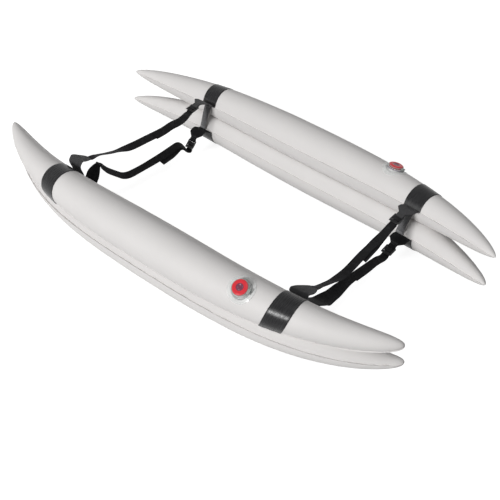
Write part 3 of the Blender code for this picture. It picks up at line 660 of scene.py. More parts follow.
def wear_group() -> Tree:
    """Light use: a film of dust, and scuffs that are rougher than the rest.

    Returns:
        The group.
    """
    sheet, given, result = effect_group("light_wear", (), ("Dust", "Scuff"))
    place = given.outputs["Vector"]
    dust = sheet.clouds(place, 38.0, 6.0, 0.7)
    strokes = sheet.clouds(sheet.stretched(place, (12.0, 90.0, 60.0)), 1.0, 4.0, 0.6)
    sheet.fill(result, Dust=sheet.spread(dust, 0.5, 0.8), Scuff=sheet.spread(strokes, 0.55, 0.75))
    return sheet.tree


@dataclass(frozen=True)
class Finish:
    """What all finishes share: a name, a colour, and how rough, glossy, scuffed and dusty it is."""

    name: str
    colour: tuple[float, float, float]
    roughness: float
    gloss: float = 0.25
    scuff: float = 0.1
    dust: float = 0.1

    def material(self) -> bpy.types.Material:
        """The finish as a material, made the first time it is asked for.

        Returns:
            The material.
        """
        found = bpy.data.materials.get(self.name)
        if found is None:
            found = bpy.data.materials.new(self.name)
            found.use_nodes = True
            sheet = NodeSheet(found.node_tree)
            self.dress(sheet, found.node_tree.nodes["Principled BSDF"])
        return found

    def shade(self, factor: float) -> tuple[float, float, float, float]:
        """The colour made lighter or darker, with alpha."""
        return (*(min(1.0, channel * factor) for channel in self.colour), 1.0)

    def rough(self, sheet: NodeSheet, wear: Node) -> Socket:
        """The roughness, which is higher where the light wear has scuffs."""
        return sheet.spread(wear.outputs["Scuff"], 0.0, 1.0, self.roughness, self.roughness + self.scuff)

    def dusty(self, sheet: NodeSheet, wear: Node) -> Socket:
        """How far the dust of the light wear covers the colour."""
        return sheet.math("MULTIPLY", wear.outputs["Dust"], self.dust)

    def dress(self, sheet: NodeSheet, shader: Node) -> None:
        """Feed the shader. Each finish does this its own way."""
        raise NotImplementedError


@dataclass(frozen=True)
class SoftVinyl(Finish):
    """Satin white skin of an inflated tube."""

    gloss: float = 0.15
    scuff: float = 0.12
    dust: float = 0.05
    dust_shade: float = 0.8
    mottle: float = 0.015
    ripple: float = 0.0012

    def dress(self, sheet: NodeSheet, shader: Node) -> None:
        """Feed the shader with ripples, mottle and a trace of dust.

        Args:
            sheet: The material's sheet.
            shader: The material's shader.
        """
        place = sheet.node("ShaderNodeTexCoord").outputs["Object"]
        skin = sheet.effect("soft_skin", place)
        wear = sheet.effect("light_wear", place)
        tint = sheet.mix(skin.outputs["Mottle"], self.shade(1 - self.mottle), self.shade(1 + self.mottle))
        sheet.fill(
            shader,
            Base_Color=sheet.mix(self.dusty(sheet, wear), tint, self.shade(self.dust_shade)),
            Roughness=self.rough(sheet, wear),
            Normal=sheet.bump(skin.outputs["Height"], self.ripple),
            Specular_IOR_Level=self.gloss,
        )


@dataclass(frozen=True)
class CoatedFabric(Finish):
    """Glossy coated fabric, with its woven core showing faintly."""

    gloss: float = 0.24
    dust: float = 0.12
    dust_colour: tuple[float, ...] = (0.16, 0.16, 0.16, 1.0)
    # Painted light and shade of the weave: thread tops lighter, spots between threads darker.
    thread_shade: float = 0.25
    thread: float = 0.0011
    relief: float = 0.000012
    ripple: float = 0.0006
    fluting: float = 0.00005
    streaked: float = 0.14
    # Painted sheen with wear: how much the band's end at the tab is lightened, and over what length.
    wear_and_sheen: float = 0.55
    worn_end: float = 0.026

    def dress(self, sheet: NodeSheet, shader: Node) -> None:
        """Feed the shader with the woven core, streaks in its gloss and a lighter end at the tab, partly wear
        and partly painted sheen.

        Args:
            sheet: The material's sheet.
            shader: The material's shader.
        """
        coords = sheet.node("ShaderNodeTexCoord")
        flat, place = coords.outputs["UV"], coords.outputs["Object"]
        core = sheet.effect("woven_threads", flat, Across=self.thread, Along=self.thread)
        wear = sheet.effect("light_wear", place)
        skin = sheet.effect("soft_skin", place)
        # Painted light on thread tops and painted shade between the threads, from the weave's depth.
        tint = sheet.mix(core.outputs["Depth"], self.shade(1 + self.thread_shade), self.shade(1 - self.thread_shade))
        parts = sheet.node("ShaderNodeSeparateXYZ", Vector=flat)
        # Painted sheen with wear: towards the tab the band is mixed towards the pale dust colour.
        wear_and_sheen = sheet.spread(parts.outputs["Y"], self.worn_end / 2, self.worn_end, self.wear_and_sheen, 0.0)
        uneven = sheet.spread(wear.outputs["Scuff"], 0.0, 1.0, 0.6, 1.0)
        share = sheet.math("MAXIMUM", self.dusty(sheet, wear), sheet.math("MULTIPLY", wear_and_sheen, uneven))
        streaks = sheet.clouds(sheet.stretched(flat, (330.0, 34.0, 1.0)), 1.0, 3.0, 0.6)
        rippled = sheet.bump(skin.outputs["Height"], self.ripple)
        fluted = sheet.bump(streaks, self.fluting, Normal=rippled)
        sheet.fill(
            shader,
            Base_Color=sheet.mix(share, tint, self.dust_colour),
            Roughness=sheet.spread(streaks, 0.35, 0.65, self.roughness, self.roughness + self.streaked),
            Normal=sheet.bump(core.outputs["Height"], self.relief, Normal=fluted),
            Specular_IOR_Level=self.gloss,
        )


@dataclass(frozen=True)
class Webbing(Finish):
    """Woven webbing: ribs of thread, with fuzz that catches the light."""

    across: float = 0.0013
    along: float = 0.0019
    relief: float = 0.00035
    fuzz: float = 0.15
    # Painted light on thread tops and painted shade in the hollows between threads.
    lit: float = 1.35
    hollow_shade: float = 0.3
    # How much lighter dust makes the webbing; on the straps these light patches are also painted sheen.
    dust_shade: float = 4.0

    def dress(self, sheet: NodeSheet, shader: Node) -> None:
        """Feed the shader with the weave and dust; on the straps the dust is strong and also paints lighter
        patches of sheen.

        Args:
            sheet: The material's sheet.
            shader: The material's shader.
        """
        coords = sheet.node("ShaderNodeTexCoord")
        threads = sheet.effect("woven_threads", coords.outputs["UV"], Across=self.across, Along=self.along)
        wear = sheet.effect("light_wear", coords.outputs["Object"])
        # Painted light on thread tops and painted shade in the hollows between threads.
        tint = sheet.mix(threads.outputs["Depth"], self.shade(self.lit), self.shade(self.hollow_shade))
        sheet.fill(
            shader,
            # Dust, and on the straps also painted sheen in lighter patches.
            Base_Color=sheet.mix(self.dusty(sheet, wear), tint, self.shade(self.dust_shade)),
            Roughness=self.rough(sheet, wear),
            Normal=sheet.bump(threads.outputs["Height"], self.relief),
            Specular_IOR_Level=self.gloss,
            Sheen_Weight=self.fuzz,
            Sheen_Roughness=0.4,
        )


@dataclass(frozen=True)
class Moulded(Finish):
    """Moulded plastic with a fine grain."""

    gloss: float = 0.5
    scuff: float = 0.18
    dust: float = 0.06
    dust_colour: tuple[float, ...] = (0.35, 0.34, 0.33, 1.0)
    flow: float = 0.07
    grain: float = 1400.0
    relief: float = 0.00006

    def dress(self, sheet: NodeSheet, shader: Node) -> None:
        """Feed the shader with grain, flow marks and scuffs.

        Args:
            sheet: The material's sheet.
            shader: The material's shader.
        """
        place = sheet.node("ShaderNodeTexCoord").outputs["Object"]
        grain = sheet.effect("moulded_grain", place, Scale=self.grain)
        wear = sheet.effect("light_wear", place)
        tint = sheet.mix(grain.outputs["Flow"], self.shade(1 - self.flow), self.shade(1 + self.flow))
        sheet.fill(
            shader,
            Base_Color=sheet.mix(self.dusty(sheet, wear), tint, self.dust_colour),
            Roughness=self.rough(sheet, wear),
            Normal=sheet.bump(grain.outputs["Height"], self.relief),
            Specular_IOR_Level=self.gloss,
        )


@dataclass(frozen=True)
class ClearVinyl(Finish):
    """Clear vinyl, which the skin under it shows through, painted near-white so that it reads brighter than
    the skin, as a painted sheen.
    """

    # Painted sheen: how opaque the near-white layer is over the skin.
    pale_sheen_cover: float = 0.42
    clouding: float = 0.15
    mottle: float = 0.03
    ripple: float = 0.0008

    def dress(self, sheet: NodeSheet, shader: Node) -> None:
        """Feed the shader with ripples, and with an uneven near-white layer that paints the flange's sheen.

        Args:
            sheet: The material's sheet.
            shader: The material's shader.
        """
        place = sheet.node("ShaderNodeTexCoord").outputs["Object"]
        skin = sheet.effect("soft_skin", place)
        wear = sheet.effect("light_wear", place)
        tint = sheet.mix(skin.outputs["Mottle"], self.shade(1 - self.mottle), self.shade(1 + self.mottle))
        # Painted sheen: a near-white layer over the skin, brighter than the skin itself.
        sheet.fill(
            shader,
            Base_Color=tint,
            Alpha=sheet.spread(wear.outputs["Dust"], 0.0, 1.0, self.pale_sheen_cover, self.pale_sheen_cover + self.clouding),
            Roughness=self.rough(sheet, wear),
            Normal=sheet.bump(skin.outputs["Height"], self.ripple),
            IOR=1.5,
        )


EFFECTS = {
    "woven_threads": weave_group(),
    "soft_skin": soft_skin_group(),
    "moulded_grain": grain_group(),
    "light_wear": wear_group(),
}
VINYL = SoftVinyl("satin_vinyl", (0.740, 0.722, 0.712), 0.50)
BAND = CoatedFabric("glossy_coated_fabric", (0.009, 0.009, 0.010), 0.21)
# Strong dust on the straps also paints lighter patches of sheen on the webbing.
STRAP_WEBBING = Webbing("strap_webbing", (0.009, 0.009, 0.010), 0.75, gloss=0.14, dust=0.9, fuzz=0.04)
TAB_WEBBING = Webbing("tab_webbing", (0.042, 0.042, 0.044), 0.75, across=0.0016, along=0.0022)
# Painted shade: a darker copy of the tab webbing for the lower tabs, which lie in the tubes' shade.
SHADED_TAB_WEBBING = Webbing(
    "dark_tab_webbing", (0.007, 0.007, 0.008), 0.75, gloss=0.10, across=0.0016, along=0.0022, fuzz=0.03,
)
TIE_WEBBING = Webbing("tie_webbing", (0.170, 0.170, 0.175), 0.75)
THREAD = Webbing("sewing_thread", (0.060, 0.060, 0.063), 0.6, relief=0.0001)
PALE_PLASTIC = Moulded("pale_moulded_plastic", (0.60, 0.62, 0.60), 0.35)
# Pale thread: the tie's hem stitches, and rows on the near tabs that paint a highlight.
PALE_THREAD = Webbing("pale_sewing_thread", (0.45, 0.45, 0.45), 0.6, relief=0.0001)
LOCK_PLASTIC = Moulded("black_moulded_plastic", (0.012, 0.012, 0.013), 0.32, gloss=0.35)
RED_PLASTIC = Moulded("red_moulded_plastic", (0.70, 0.020, 0.035), 0.34, relief=0.00003, gloss=0.4)
PURPLE_PLASTIC = Moulded("purple_moulded_plastic", (0.16, 0.022, 0.060), 0.25, relief=0.00003)
PURPLE_RUBBER = Moulded("purple_rubber", (0.11, 0.035, 0.16), 0.5, grain=900.0, gloss=0.3)
TETHER_PLASTIC = Moulded("grey_green_soft_plastic", (0.30, 0.33, 0.31), 0.4)
# Painted sheen: near-white and partly opaque, so the flange reads brighter than the skin.
CLEAR = ClearVinyl("clear_vinyl", (0.94, 0.95, 0.94), 0.15)
# Upper tabs get the tab webbing, lower tabs its copy with painted shade.
TAB_SHADE_BY_LEVEL = {Level.UPPER: TAB_WEBBING, Level.LOWER: SHADED_TAB_WEBBING}


def add_piece(name: str, mesh: Mesh, finish: Finish, nodes: tuple[str, ...] = (),
              body: str | None = None) -> bpy.types.Object:
    """A finished piece, which may stand for CAD nodes and ride on a body.

    Args:
        name: The piece's name.
        mesh: Its mesh, in the row frame.
        finish: Its finish.
        nodes: The CAD nodes that it stands for.
        body: The body that it rides on, or None to leave it on no body.

    Returns:
        The piece.
    """
    piece = put_in_scene(name, mesh)
    mesh.name = name
    mesh.materials.clear()
    mesh.materials.append(finish.material())
    if body is not None:
        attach(piece, body)
    if nodes:
        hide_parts(*nodes)
    LOG.info("%s: %d faces, %s", name, len(mesh.polygons), finish.name)
    return piece


# A float's shape


@dataclass(frozen=True)
class TipShape:
    """How one end of a float differs from the formula: its soft skin never fills quite alike."""

    spread: float = 0.0
    lift: float = 0.0
    blunt: float = 0.0


PLAIN_TIP = TipShape()
TIPS = {
    (FloatName.NEAR, End.LEFT): TipShape(lift=0.022),
    (FloatName.NEAR, End.RIGHT): TipShape(spread=-0.19, lift=0.0085, blunt=0.12),
    (FloatName.FAR, End.LEFT): TipShape(spread=0.15),
}


@dataclass(frozen=True)
class FloatShape:
    """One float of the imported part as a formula: two banana-shaped tubes pressed together."""

    name: FloatName
    length: float = 1.524
    spacing: float = 0.670
    tube_radius: float = 0.0676
    web_to_axis: float = 0.046
    fullness: float = 2.15
    tip_rounding: float = 0.594
    tip_radius: float = 0.0015
    bow: float = 0.103
    bow_power: float = 3.55
    roll: float = radians(12.0)
    toe_in: float = radians(1.83)
    board_seam: float = 90.0
    outer_seam: float = 112.0
    sole_depth: float = 0.0015
    fin: float = 0.004
    fin_thickness: float = 0.001
    band_width: float = 0.062
    band_places: tuple[float, float] = (-0.405, 0.477)
    blunt_power: int = 8
    spread_power: int = 6
    lift_power: int = 4
    fin_power: int = 12
    fin_to_radius: float = 0.2

    @property
    def side(self) -> int:
        """1 where the board lies towards +Y, and -1 where it lies towards -Y."""
        return self.name.side

    def share(self, x: Array) -> Array:
        """How far out stations lie: 0 in the middle and 1 at a tip."""
        return np.minimum(np.abs(x) / (self.length / 2), 1.0)

    def radius(self, x: Array) -> Array:
        """The tube's radius at a station.

        Args:
            x: Stations.

        Returns:
            Radii, in metres.
        """
        share = self.share(x)
        rounding = self.tip_rounding - self.by_end("blunt", x) * share**self.blunt_power
        return np.maximum(self.tip_radius, self.tube_radius * (1 - share**self.fullness) ** rounding)

    def by_end(self, name: str, x: Array) -> Array:
        """A number of TipShape at stations, from the left end where x is negative, or else the right."""
        left, right = (getattr(TIPS.get((self.name, end), PLAIN_TIP), name) for end in End)
        return np.where(np.asarray(x) < 0.0, left, right)

    def fin_width(self, x: Array) -> Array:
        """The weld flange's width, which runs out towards the tip."""
        return self.tip_radius + (self.fin - self.tip_radius) * (1 - self.share(x) ** self.fin_power)

    def fin_half(self, x: Array) -> Array:
        """Half the weld flange's thickness."""
        return np.minimum(self.fin_thickness / 2, self.fin_to_radius * self.radius(x))

    def matrix(self) -> Matrix:
        """Where the float stands: rolled and toed in about its own middle.

        Returns:
            The float's matrix in the row frame.
        """
        middle = Vector((
            self.bow * sin(self.toe_in),
            -self.side * self.spacing / 2,
            self.tube_radius + self.web_to_axis * cos(self.roll) - self.sole_depth,
        ))
        toed = Matrix.Rotation(self.side * self.toe_in, 4, "Z")
        rolled = Matrix.Rotation(self.side * self.roll, 4, "X")
        return Matrix.Translation(middle) @ (toed @ rolled)

    def points(self, level: Level, x: Array, angle: Array, offset: Array | float = 0.0,
               rise: Array | float = 0.0) -> Array:
        """Places at a tube's skin, in the row frame.

        Args:
            level: Which tube.
            x: Stations.
            angle: Degrees from the crown, towards the board.
            offset: Heights off the skin.
            rise: Heights away from the web.

        Returns:
            Points, in metres.
        """
        x, angle = np.broadcast_arrays(np.asarray(x, float), np.asarray(angle, float))
        share = self.share(x)
        steepness = self.bow * self.bow_power * share ** (self.bow_power - 1) / (self.length / 2)
        slope = np.arctan(np.copysign(steepness, x))
        reach = self.radius(x) + offset
        across = reach * np.sin(np.radians(angle))
        axis = self.web_to_axis * (1 + self.by_end("spread", x) * share**self.spread_power)
        height = np.maximum(axis + reach * np.cos(np.radians(angle)) + rise, GAP / 2)
        local = np.stack([
            x - np.sin(slope) * across,
            self.side * (self.bow * share**self.bow_power + np.cos(slope) * across),
            level.sign * height,
        ], axis=-1)
        matrix = np.array(self.matrix())
        world = local @ matrix[:3, :3].T + matrix[:3, 3]
        world[..., 2] += self.by_end("lift", x) * share**self.lift_power
        upward = matrix[:3, 2]
        low = np.minimum(world[..., 2], 0.0)
        return world - low[..., None] / upward[2] * upward

    def point(self, level: Level, x: float, angle: float, offset: float = 0.0, rise: float = 0.0) -> Vector:
        """One place at a tube's skin, given as points() has it."""
        return Vector(self.points(level, np.array(x), np.array(angle), offset, rise))

    def band_place(self, end: End) -> float:
        """The station of the middle of an end's bands."""
        return self.band_places[0 if end is End.LEFT else 1]

    def band_edges(self, level: Level, end: End, offset: float = 0.0) -> tuple[Vector, Vector]:
        """The seam that faces the board, at a band's two edges and so far off the skin."""
        middle, half = self.band_place(end), self.band_width / 2
        return tuple(self.point(level, x, self.board_seam, offset) for x in (middle - half, middle + half))

    def seam_middle(self, level: Level, end: End, offset: float = 0.0) -> Vector:
        """The seam that faces the board, halfway between a band's edges and so far off the skin."""
        first, last = self.band_edges(level, end, offset)
        return (first + last) / 2

    def seam_directions(self, level: Level, end: End) -> tuple[Vector, Vector, Vector]:
        """Along the seam, level towards the board, and out along the weld flange.

        Args:
            level: Which tube.
            end: Which band.

        Returns:
            Three unit vectors.
        """
        first, last = self.band_edges(level, end)
        along = (last - first).normalized()
        towards = (UP.cross(along) * self.side).normalized()
        outward = self.seam_middle(level, end, self.fin) - self.seam_middle(level, end)
        return along, towards, (outward - along * outward.dot(along)).normalized()

    def in_profile(self, level: Level, end: End, towards: float, rise: float) -> Vector:
        """A place so far from a seam's middle towards the board, and so far above it."""
        _, towards_board, _ = self.seam_directions(level, end)
        return self.seam_middle(level, end) + towards_board * towards + UP * rise


SHAPES = {name: FloatShape(name) for name in FloatName}


# Tubes and bands


@dataclass(frozen=True)
class TubeSkin:
    """An inflated tube: its skin, puckered along the welds, and the two weld flanges."""

    shape: FloatShape
    level: Level
    stations: int = 361
    crown_steps: int = 60
    web_steps: int = 22
    pucker: float = 0.0007
    pucker_reach: float = 13.0
    pucker_waves: tuple[float, float] = (55.0, 120.0)
    sag: float = 0.0007
    sag_waves: float = 6.0
    flutter: float = 0.0005
    flutter_waves: float = 42.0
    calm_margin: float = 0.003
    calm_fade: float = 0.015
    thin_tip: float = 0.02

    def station_list(self) -> Array:
        """Stations along the tube, closer at the tips."""
        share = np.linspace(-1.0, 1.0, self.stations)
        return self.shape.length / 2 * (0.5 * share + 0.5 * np.sin(pi / 2 * share))

    def calm(self, x: Array) -> Array:
        """Where the skin is held smooth, under a band.

        Args:
            x: Stations.

        Returns:
            0 under a band and 1 clear of it.
        """
        away = np.full(x.shape, 1.0)
        for place in self.shape.band_places:
            beyond = np.abs(x - place) - self.shape.band_width / 2 - self.calm_margin
            away = np.minimum(away, smooth_step(beyond / self.calm_fade))
        return away

    def unevenness(self, x: Array, angle: Array) -> Array:
        """How far the skin lies off its plain round shape.

        Args:
            x: Stations.
            angle: Degrees from the crown, towards the board.

        Returns:
            Heights, in metres, for each station and angle.
        """
        seed = 3.1 * self.shape.side + 7.7 * self.level.sign
        tip = self.shape.share(x) ** 5
        height = np.zeros((len(x), len(angle)))
        broad, fine = self.pucker_waves
        for weld, number in ((self.shape.board_seam, 1), (-self.shape.outer_seam, 2)):
            folds = wave(x, broad, seed + number) + 0.6 * wave(x, fine, seed + 2 * number)
            near = np.exp(-np.abs((angle - weld + 180) % 360 - 180) / self.pucker_reach)
            height += (self.pucker * (0.35 + 1.6 * tip) * folds)[:, None] * near[None, :]
        for step, turn in enumerate((-60.0, 0.0, 60.0)):
            hollows = wave(x, self.sag_waves, seed + 11 + step)
            around = np.cos(np.radians((angle - turn) * 1.5).clip(-pi / 2, pi / 2))
            height += (self.sag * 0.5 * hollows)[:, None] * around[None, :]
        return height * self.calm(x)[:, None] * np.minimum(1.0, self.shape.radius(x) / self.thin_tip)[:, None]

    def mesh(self) -> Mesh:
        """The tube's mesh.

        Returns:
            The mesh, in the row frame.
        """
        shape = self.shape
        x = self.station_list()
        crown = np.linspace(shape.board_seam, -shape.outer_seam, self.crown_steps + 1)
        web = np.linspace(-shape.outer_seam, -360.0 + shape.board_seam, self.web_steps + 1)
        width, half = shape.fin_width(x)[:, None], shape.fin_half(x)[:, None]
        fin_shares = np.array([0.0, 0.6, 0.92, 1.0, 1.0, 0.92, 0.6, 0.0])[None, :]
        fin_sides = np.array([1.0, 1.0, 0.8, 0.4, -0.4, -0.8, -1.0, -1.0])[None, :]
        waves = wave(x, self.flutter_waves, 5.5 * self.level.sign + shape.side)
        flutter = (self.flutter * waves * self.calm(x))[:, None]
        fin_offset = width * fin_shares
        fin_rise = half * fin_sides + flutter * fin_shares
        ones = np.ones((len(x), 1))
        stripes = [
            (crown, self.unevenness(x, crown), np.zeros((len(x), len(crown)))),
            (np.full(8, -shape.outer_seam), fin_offset, fin_rise),
            (web, self.unevenness(x, web), np.zeros((len(x), len(web)))),
            (np.full(8, shape.board_seam), fin_offset, -fin_rise),
            (crown[:1], self.unevenness(x, crown[:1]), np.zeros((len(x), 1))),
        ]
        angle = np.concatenate([stripe[0] for stripe in stripes])
        offset, rise = (np.concatenate([stripe[part] for stripe in stripes], axis=1) for part in (1, 2))
        stations = x[:, None] * np.ones_like(angle)[None, :]
        points = shape.points(self.level, stations, angle[None, :] * ones, offset, rise)
        turned = np.concatenate([[0.0], np.cumsum(np.abs(np.diff(angle)))])
        around = turned / DEGREES_PER_RADIAN * shape.tube_radius
        uv = np.stack(np.broadcast_arrays(around[None, :], x[:, None]), axis=-1)
        return grid_mesh(points, uv, caps=True, sharp=60)

    def pierce(self, mesh: Mesh, matrix: Matrix, radius: float) -> None:
        """Cut a round hole in the skin.

        Args:
            mesh: The tube's mesh.
            matrix: The hole's frame, whose Z points out of the skin.
            radius: The hole's radius.
        """
        bm = bmesh.new()
        bm.from_mesh(mesh)
        inverse = matrix.inverted()
        inside = {}
        for vertex in bm.verts:
            place = inverse @ vertex.co
            if abs(place.z) < radius:
                inside[vertex] = place.xy.length
        doomed = [
            face for face in bm.faces
            if all(inside.get(vertex, 1.0) < radius for vertex in face.verts)
        ]
        edge = {vertex for face in doomed for vertex in face.verts}
        bmesh.ops.delete(bm, geom=doomed, context="FACES")
        for vertex in edge:
            if vertex.is_valid:
                place = inverse @ vertex.co
                flat = place.xy.normalized() * radius
                vertex.co = matrix @ Vector((flat.x, flat.y, place.z))
        bm.to_mesh(mesh)
        bm.free()

    def build(self) -> None:
        """Make the tube."""
        shape = self.shape
        name = named(shape.name, self.level, "tube")
        mesh = self.mesh()
        if shape.side * self.level.sign < 0:
            mesh.flip_normals()
        if self.level is Level.UPPER:
            self.pierce(mesh, valve_matrix(shape), Valve.collar_radius + GAP)
        add_piece(name + "_skin", mesh, VINYL, (name,), shape.name.body)


# Shift along the tube, and how much further the underside's end lies, in metres
BAND_SKEWS = {(FloatName.NEAR, Level.UPPER, End.RIGHT): (0.004, -0.034)}


@dataclass(frozen=True)
class Band:
    """A glossy patch round a tube's crown, with a welded hem at each end."""

    shape: FloatShape
    level: Level
    end: End
    thickness: float = 0.0012
    hem: float = 0.0006
    hem_width: float = 7.0
    hem_slope: float = 1.6
    clear: float = 0.9
    end_slope: float = 1.2
    end_height: float = 0.35
    edge: float = 0.0009
    tuck: float = 0.002
    ripple: float = 0.0004
    ripple_turns: float = 260.0
    ripple_reach: float = 14.0
    underside: float = -40.0
    steps: int = 90

    def outline(self) -> Outline:
        """The band's cross-section.

        Returns:
            Places from the band's middle and heights off the skin, closed at one corner.
        """
        half, full = self.shape.band_width / 2, self.thickness
        left = [(-half, GAP), (-half, 0.45 * full), (-half + 0.3 * self.edge, 0.8 * full)]
        left.append((-half + self.edge, full))
        top = [(place, full) for place in np.linspace(-half + self.edge, half - self.edge, 17)[1:-1]]
        return left + top + mirrored(left) + [(half - self.tuck, GAP), (-half + self.tuck, GAP), (-half, GAP)]

    def mesh(self) -> Mesh:
        """The band's mesh.

        Returns:
            The mesh, in the row frame.
        """
        shape = self.shape
        last = self.underside if self.level is Level.LOWER else self.clear - shape.outer_seam
        angle = np.linspace(shape.board_seam - self.clear, last, self.steps + 1)
        place, height = np.array(self.outline()).T
        from_end = np.minimum(shape.board_seam - angle, angle - last + self.clear)
        raised = self.hem * smooth_step((self.hem_width - from_end) / self.hem_slope)
        full = self.end_height + (1 - self.end_height) * smooth_step(from_end / self.end_slope)
        on_top = (height > 0.4 * self.thickness).astype(float)
        offset = GAP + height[None, :] * full[:, None] + raised[:, None] * on_top[None, :]
        around = (shape.board_seam - angle) / (shape.board_seam + shape.outer_seam)
        shift, skew = BAND_SKEWS.get((shape.name, self.level, self.end), (0.0, 0.0))
        middle = shape.band_place(self.end) + shift + skew * around**3
        fading = np.exp(-from_end[:, None] / self.ripple_reach)
        ripple = self.ripple * np.sin(place[None, :] * self.ripple_turns) * fading * on_top[None, :]
        x = middle[:, None] + place[None, :]
        points = shape.points(self.level, x, angle[:, None] * np.ones_like(place)[None, :], offset + ripple)
        lengths = (shape.board_seam - angle) / DEGREES_PER_RADIAN * shape.tube_radius
        uv = np.stack(np.broadcast_arrays(place[None, :], lengths[:, None]), axis=-1)
        return grid_mesh(points, uv, caps=True, sharp=50)

    def build(self) -> None:
        """Make the band."""
        shape = self.shape
        name = named(shape.name, self.level, self.end, "band")
        mesh = self.mesh()
        if shape.side * self.level.sign > 0:
            mesh.flip_normals()
        add_piece(name + "_patch", mesh, BAND, (name,), shape.name.body)


# Webbing


@dataclass
class Ribbon:
    """A flat strip of fabric along a route, with rounded edges."""

    route: list[Vector]
    sides: list[Vector]
    widths: list[float]
    thickness: float = 0.0015
    squared: bool = True
    ripple: float = 0.0
    cup: float = 0.0
    seed: float = 0.0
    held_end: float = 0.02
    creases: tuple[float, float] = (28.0, 22.0)
    lengths: list[float] = field(init=False)
    frames: Frames = field(init=False)

    def __post_init__(self) -> None:
        """Measure the route and set up its frames."""
        self.lengths = route_lengths(self.route)
        self.frames = self.framed()

    def outline(self) -> Outline:
        """Half widths and half thicknesses round the cross-section, as shares.

        Returns:
            Pairs from -1 to 1, starting and ending at one corner.
        """
        top = [(-0.96 + 1.92 * step / 12, 1.0) for step in range(13)]
        right = [(0.985, 0.75), (1.0, 0.0), (0.985, -0.75)]
        bottom = [(-u, -1.0) for u, _ in top]
        left = [(-0.985, -0.75), (-1.0, 0.0), (-0.985, 0.75)]
        return top + right + bottom + left + [top[0]]

    def framed(self) -> Frames:
        """Point, half width and unit face normal at each place on the route.

        Returns:
            One triple for each point.
        """
        made = []
        for point, tangent, side, width in zip(self.route, tangents(self.route), self.sides, self.widths):
            if self.squared:
                side = side - tangent * side.dot(tangent)
            side = side.normalized() * (width / 2)
            made.append((point, side, tangent.cross(side).normalized()))
        return made

    def off(self, across: float, length: float, width: float) -> float:
        """How far the fabric lies off its plain shape.

        Args:
            across: -1 at one edge and 1 at the other.
            length: Distance along the route.
            width: The strip's width there.

        Returns:
            The height, in metres.
        """
        free = min(1.0, length / self.held_end, (self.lengths[-1] - length) / self.held_end)
        height = self.cup * (1 - across * across) * free
        if self.ripple:
            place = Vector((across * width * self.creases[0], length * self.creases[1], self.seed))
            height += self.ripple * noise.noise(place) * 2 * free
        return height

    def mesh(self) -> Mesh:
        """The strip's mesh.

        Returns:
            The mesh, in the row frame.
        """
        outline = self.outline()
        rows, uv = [], []
        half = self.thickness / 2
        for (point, side, face), length, width in zip(self.frames, self.lengths, self.widths):
            row = []
            for across, up in outline:
                row.append(point + side * across + face * (half * up + self.off(across, length, width)))
            rows.append([tuple(place) for place in row])
            uv.append([(across * width / 2, length) for across, _ in outline])
        return grid_mesh(np.array(rows), np.array(uv), caps=True, sharp=60)

    def spot(self, length: float, across: float, up: float) -> tuple[Vector, Vector]:
        """A place on one face.

        Args:
            length: Distance along the route.
            across: Distance from the middle line, in metres.
            up: 1 for the upper face and -1 for the lower one.

        Returns:
            The point and the face's normal.
        """
        last = len(self.route) - 2
        index = next((i for i in range(last + 1) if self.lengths[i + 1] >= length), last)
        step = max(1e-9, self.lengths[index + 1] - self.lengths[index])
        share = (length - self.lengths[index]) / step
        point, side, face = (a.lerp(b, share) for a, b in zip(self.frames[index], self.frames[index + 1]))
        width = 2 * side.length
        ratio = across / (width / 2)
        height = self.thickness / 2 * up + self.off(ratio, length, width)
        return point + side * ratio + face * height, face * up


@dataclass(frozen=True)
class Stitching:
    """Rows of thread on a ribbon's faces."""

    ribbon: Ribbon
    pitch: float = 0.0034
    stitch: float = 0.0026
    thread: float = 0.00042
    arch: float = 0.75
    sunk: float = 0.1
    taper: tuple[float, ...] = (0.35, 0.9, 1.0, 0.9, 0.35)

    def row(self, start: tuple[float, float], end: tuple[float, float], up: float) -> list[list[Vector]]:
        """One straight row of stitches.

        Args:
            start: Distance along and across, where the row starts.
            end: The same, where it ends.
            up: 1 for the upper face and -1 for the lower one.

        Returns:
            The stitches, as lists of points along each thread.
        """
        first, last = Vector(start), Vector(end)
        count = max(1, int((last - first).length / self.pitch))
        stitches = []
        for number in range(count):
            middle = (number + 0.5) / count
            reach = self.stitch / 2 / max(1e-6, (last - first).length)
            thread = []
            for step in range(5):
                share = middle + reach * (step / 2 - 1)
                place = first.lerp(last, share)
                point, normal = self.ribbon.spot(place.x, place.y, up)
                lift = self.thread * (self.arch * sin(pi * step / 4) - self.sunk)
                thread.append(point + normal * lift)
            stitches.append(thread)
        return stitches

    def mesh(self, rows: list[Outline], faces: tuple[float, ...] = (1.0, -1.0)) -> Mesh:
        """All rows as one mesh.

        Args:
            rows: The start and end of each row.
            faces: Which faces are stitched.

        Returns:
            The mesh, in the row frame.
        """
        vertices, quads = [], []
        for up in faces:
            for start, end in rows:
                for thread in self.row(start, end, up):
                    self.spindle(thread, vertices, quads)
        mesh = bpy.data.meshes.new("stitches")
        mesh.from_pydata(vertices, [], quads)
        mesh.shade_smooth()
        return mesh

    def spindle(self, thread: list[Vector], vertices: list[tuple], quads: list[tuple]) -> None:
        """A thread that is thick in the middle and thin at its ends.

        Args:
            thread: The points along it.
            vertices: The mesh's vertices so far.
            quads: The mesh's faces so far.
        """
        sides = 6
        base = len(vertices)
        for point, tangent, share in zip(thread, tangents(thread), self.taper):
            first = tangent.orthogonal().normalized()
            second = tangent.cross(first)
            for step in range(sides):
                turn = 2 * pi * step / sides
                place = point + (first * cos(turn) + second * sin(turn)) * self.thread * share
                vertices.append(tuple(place))
        for ring in range(len(thread) - 1):
            for step in range(sides):
                following = (step + 1) % sides
                a, b = base + ring * sides, base + (ring + 1) * sides
                quads.append((a + step, a + following, b + following, b + step))


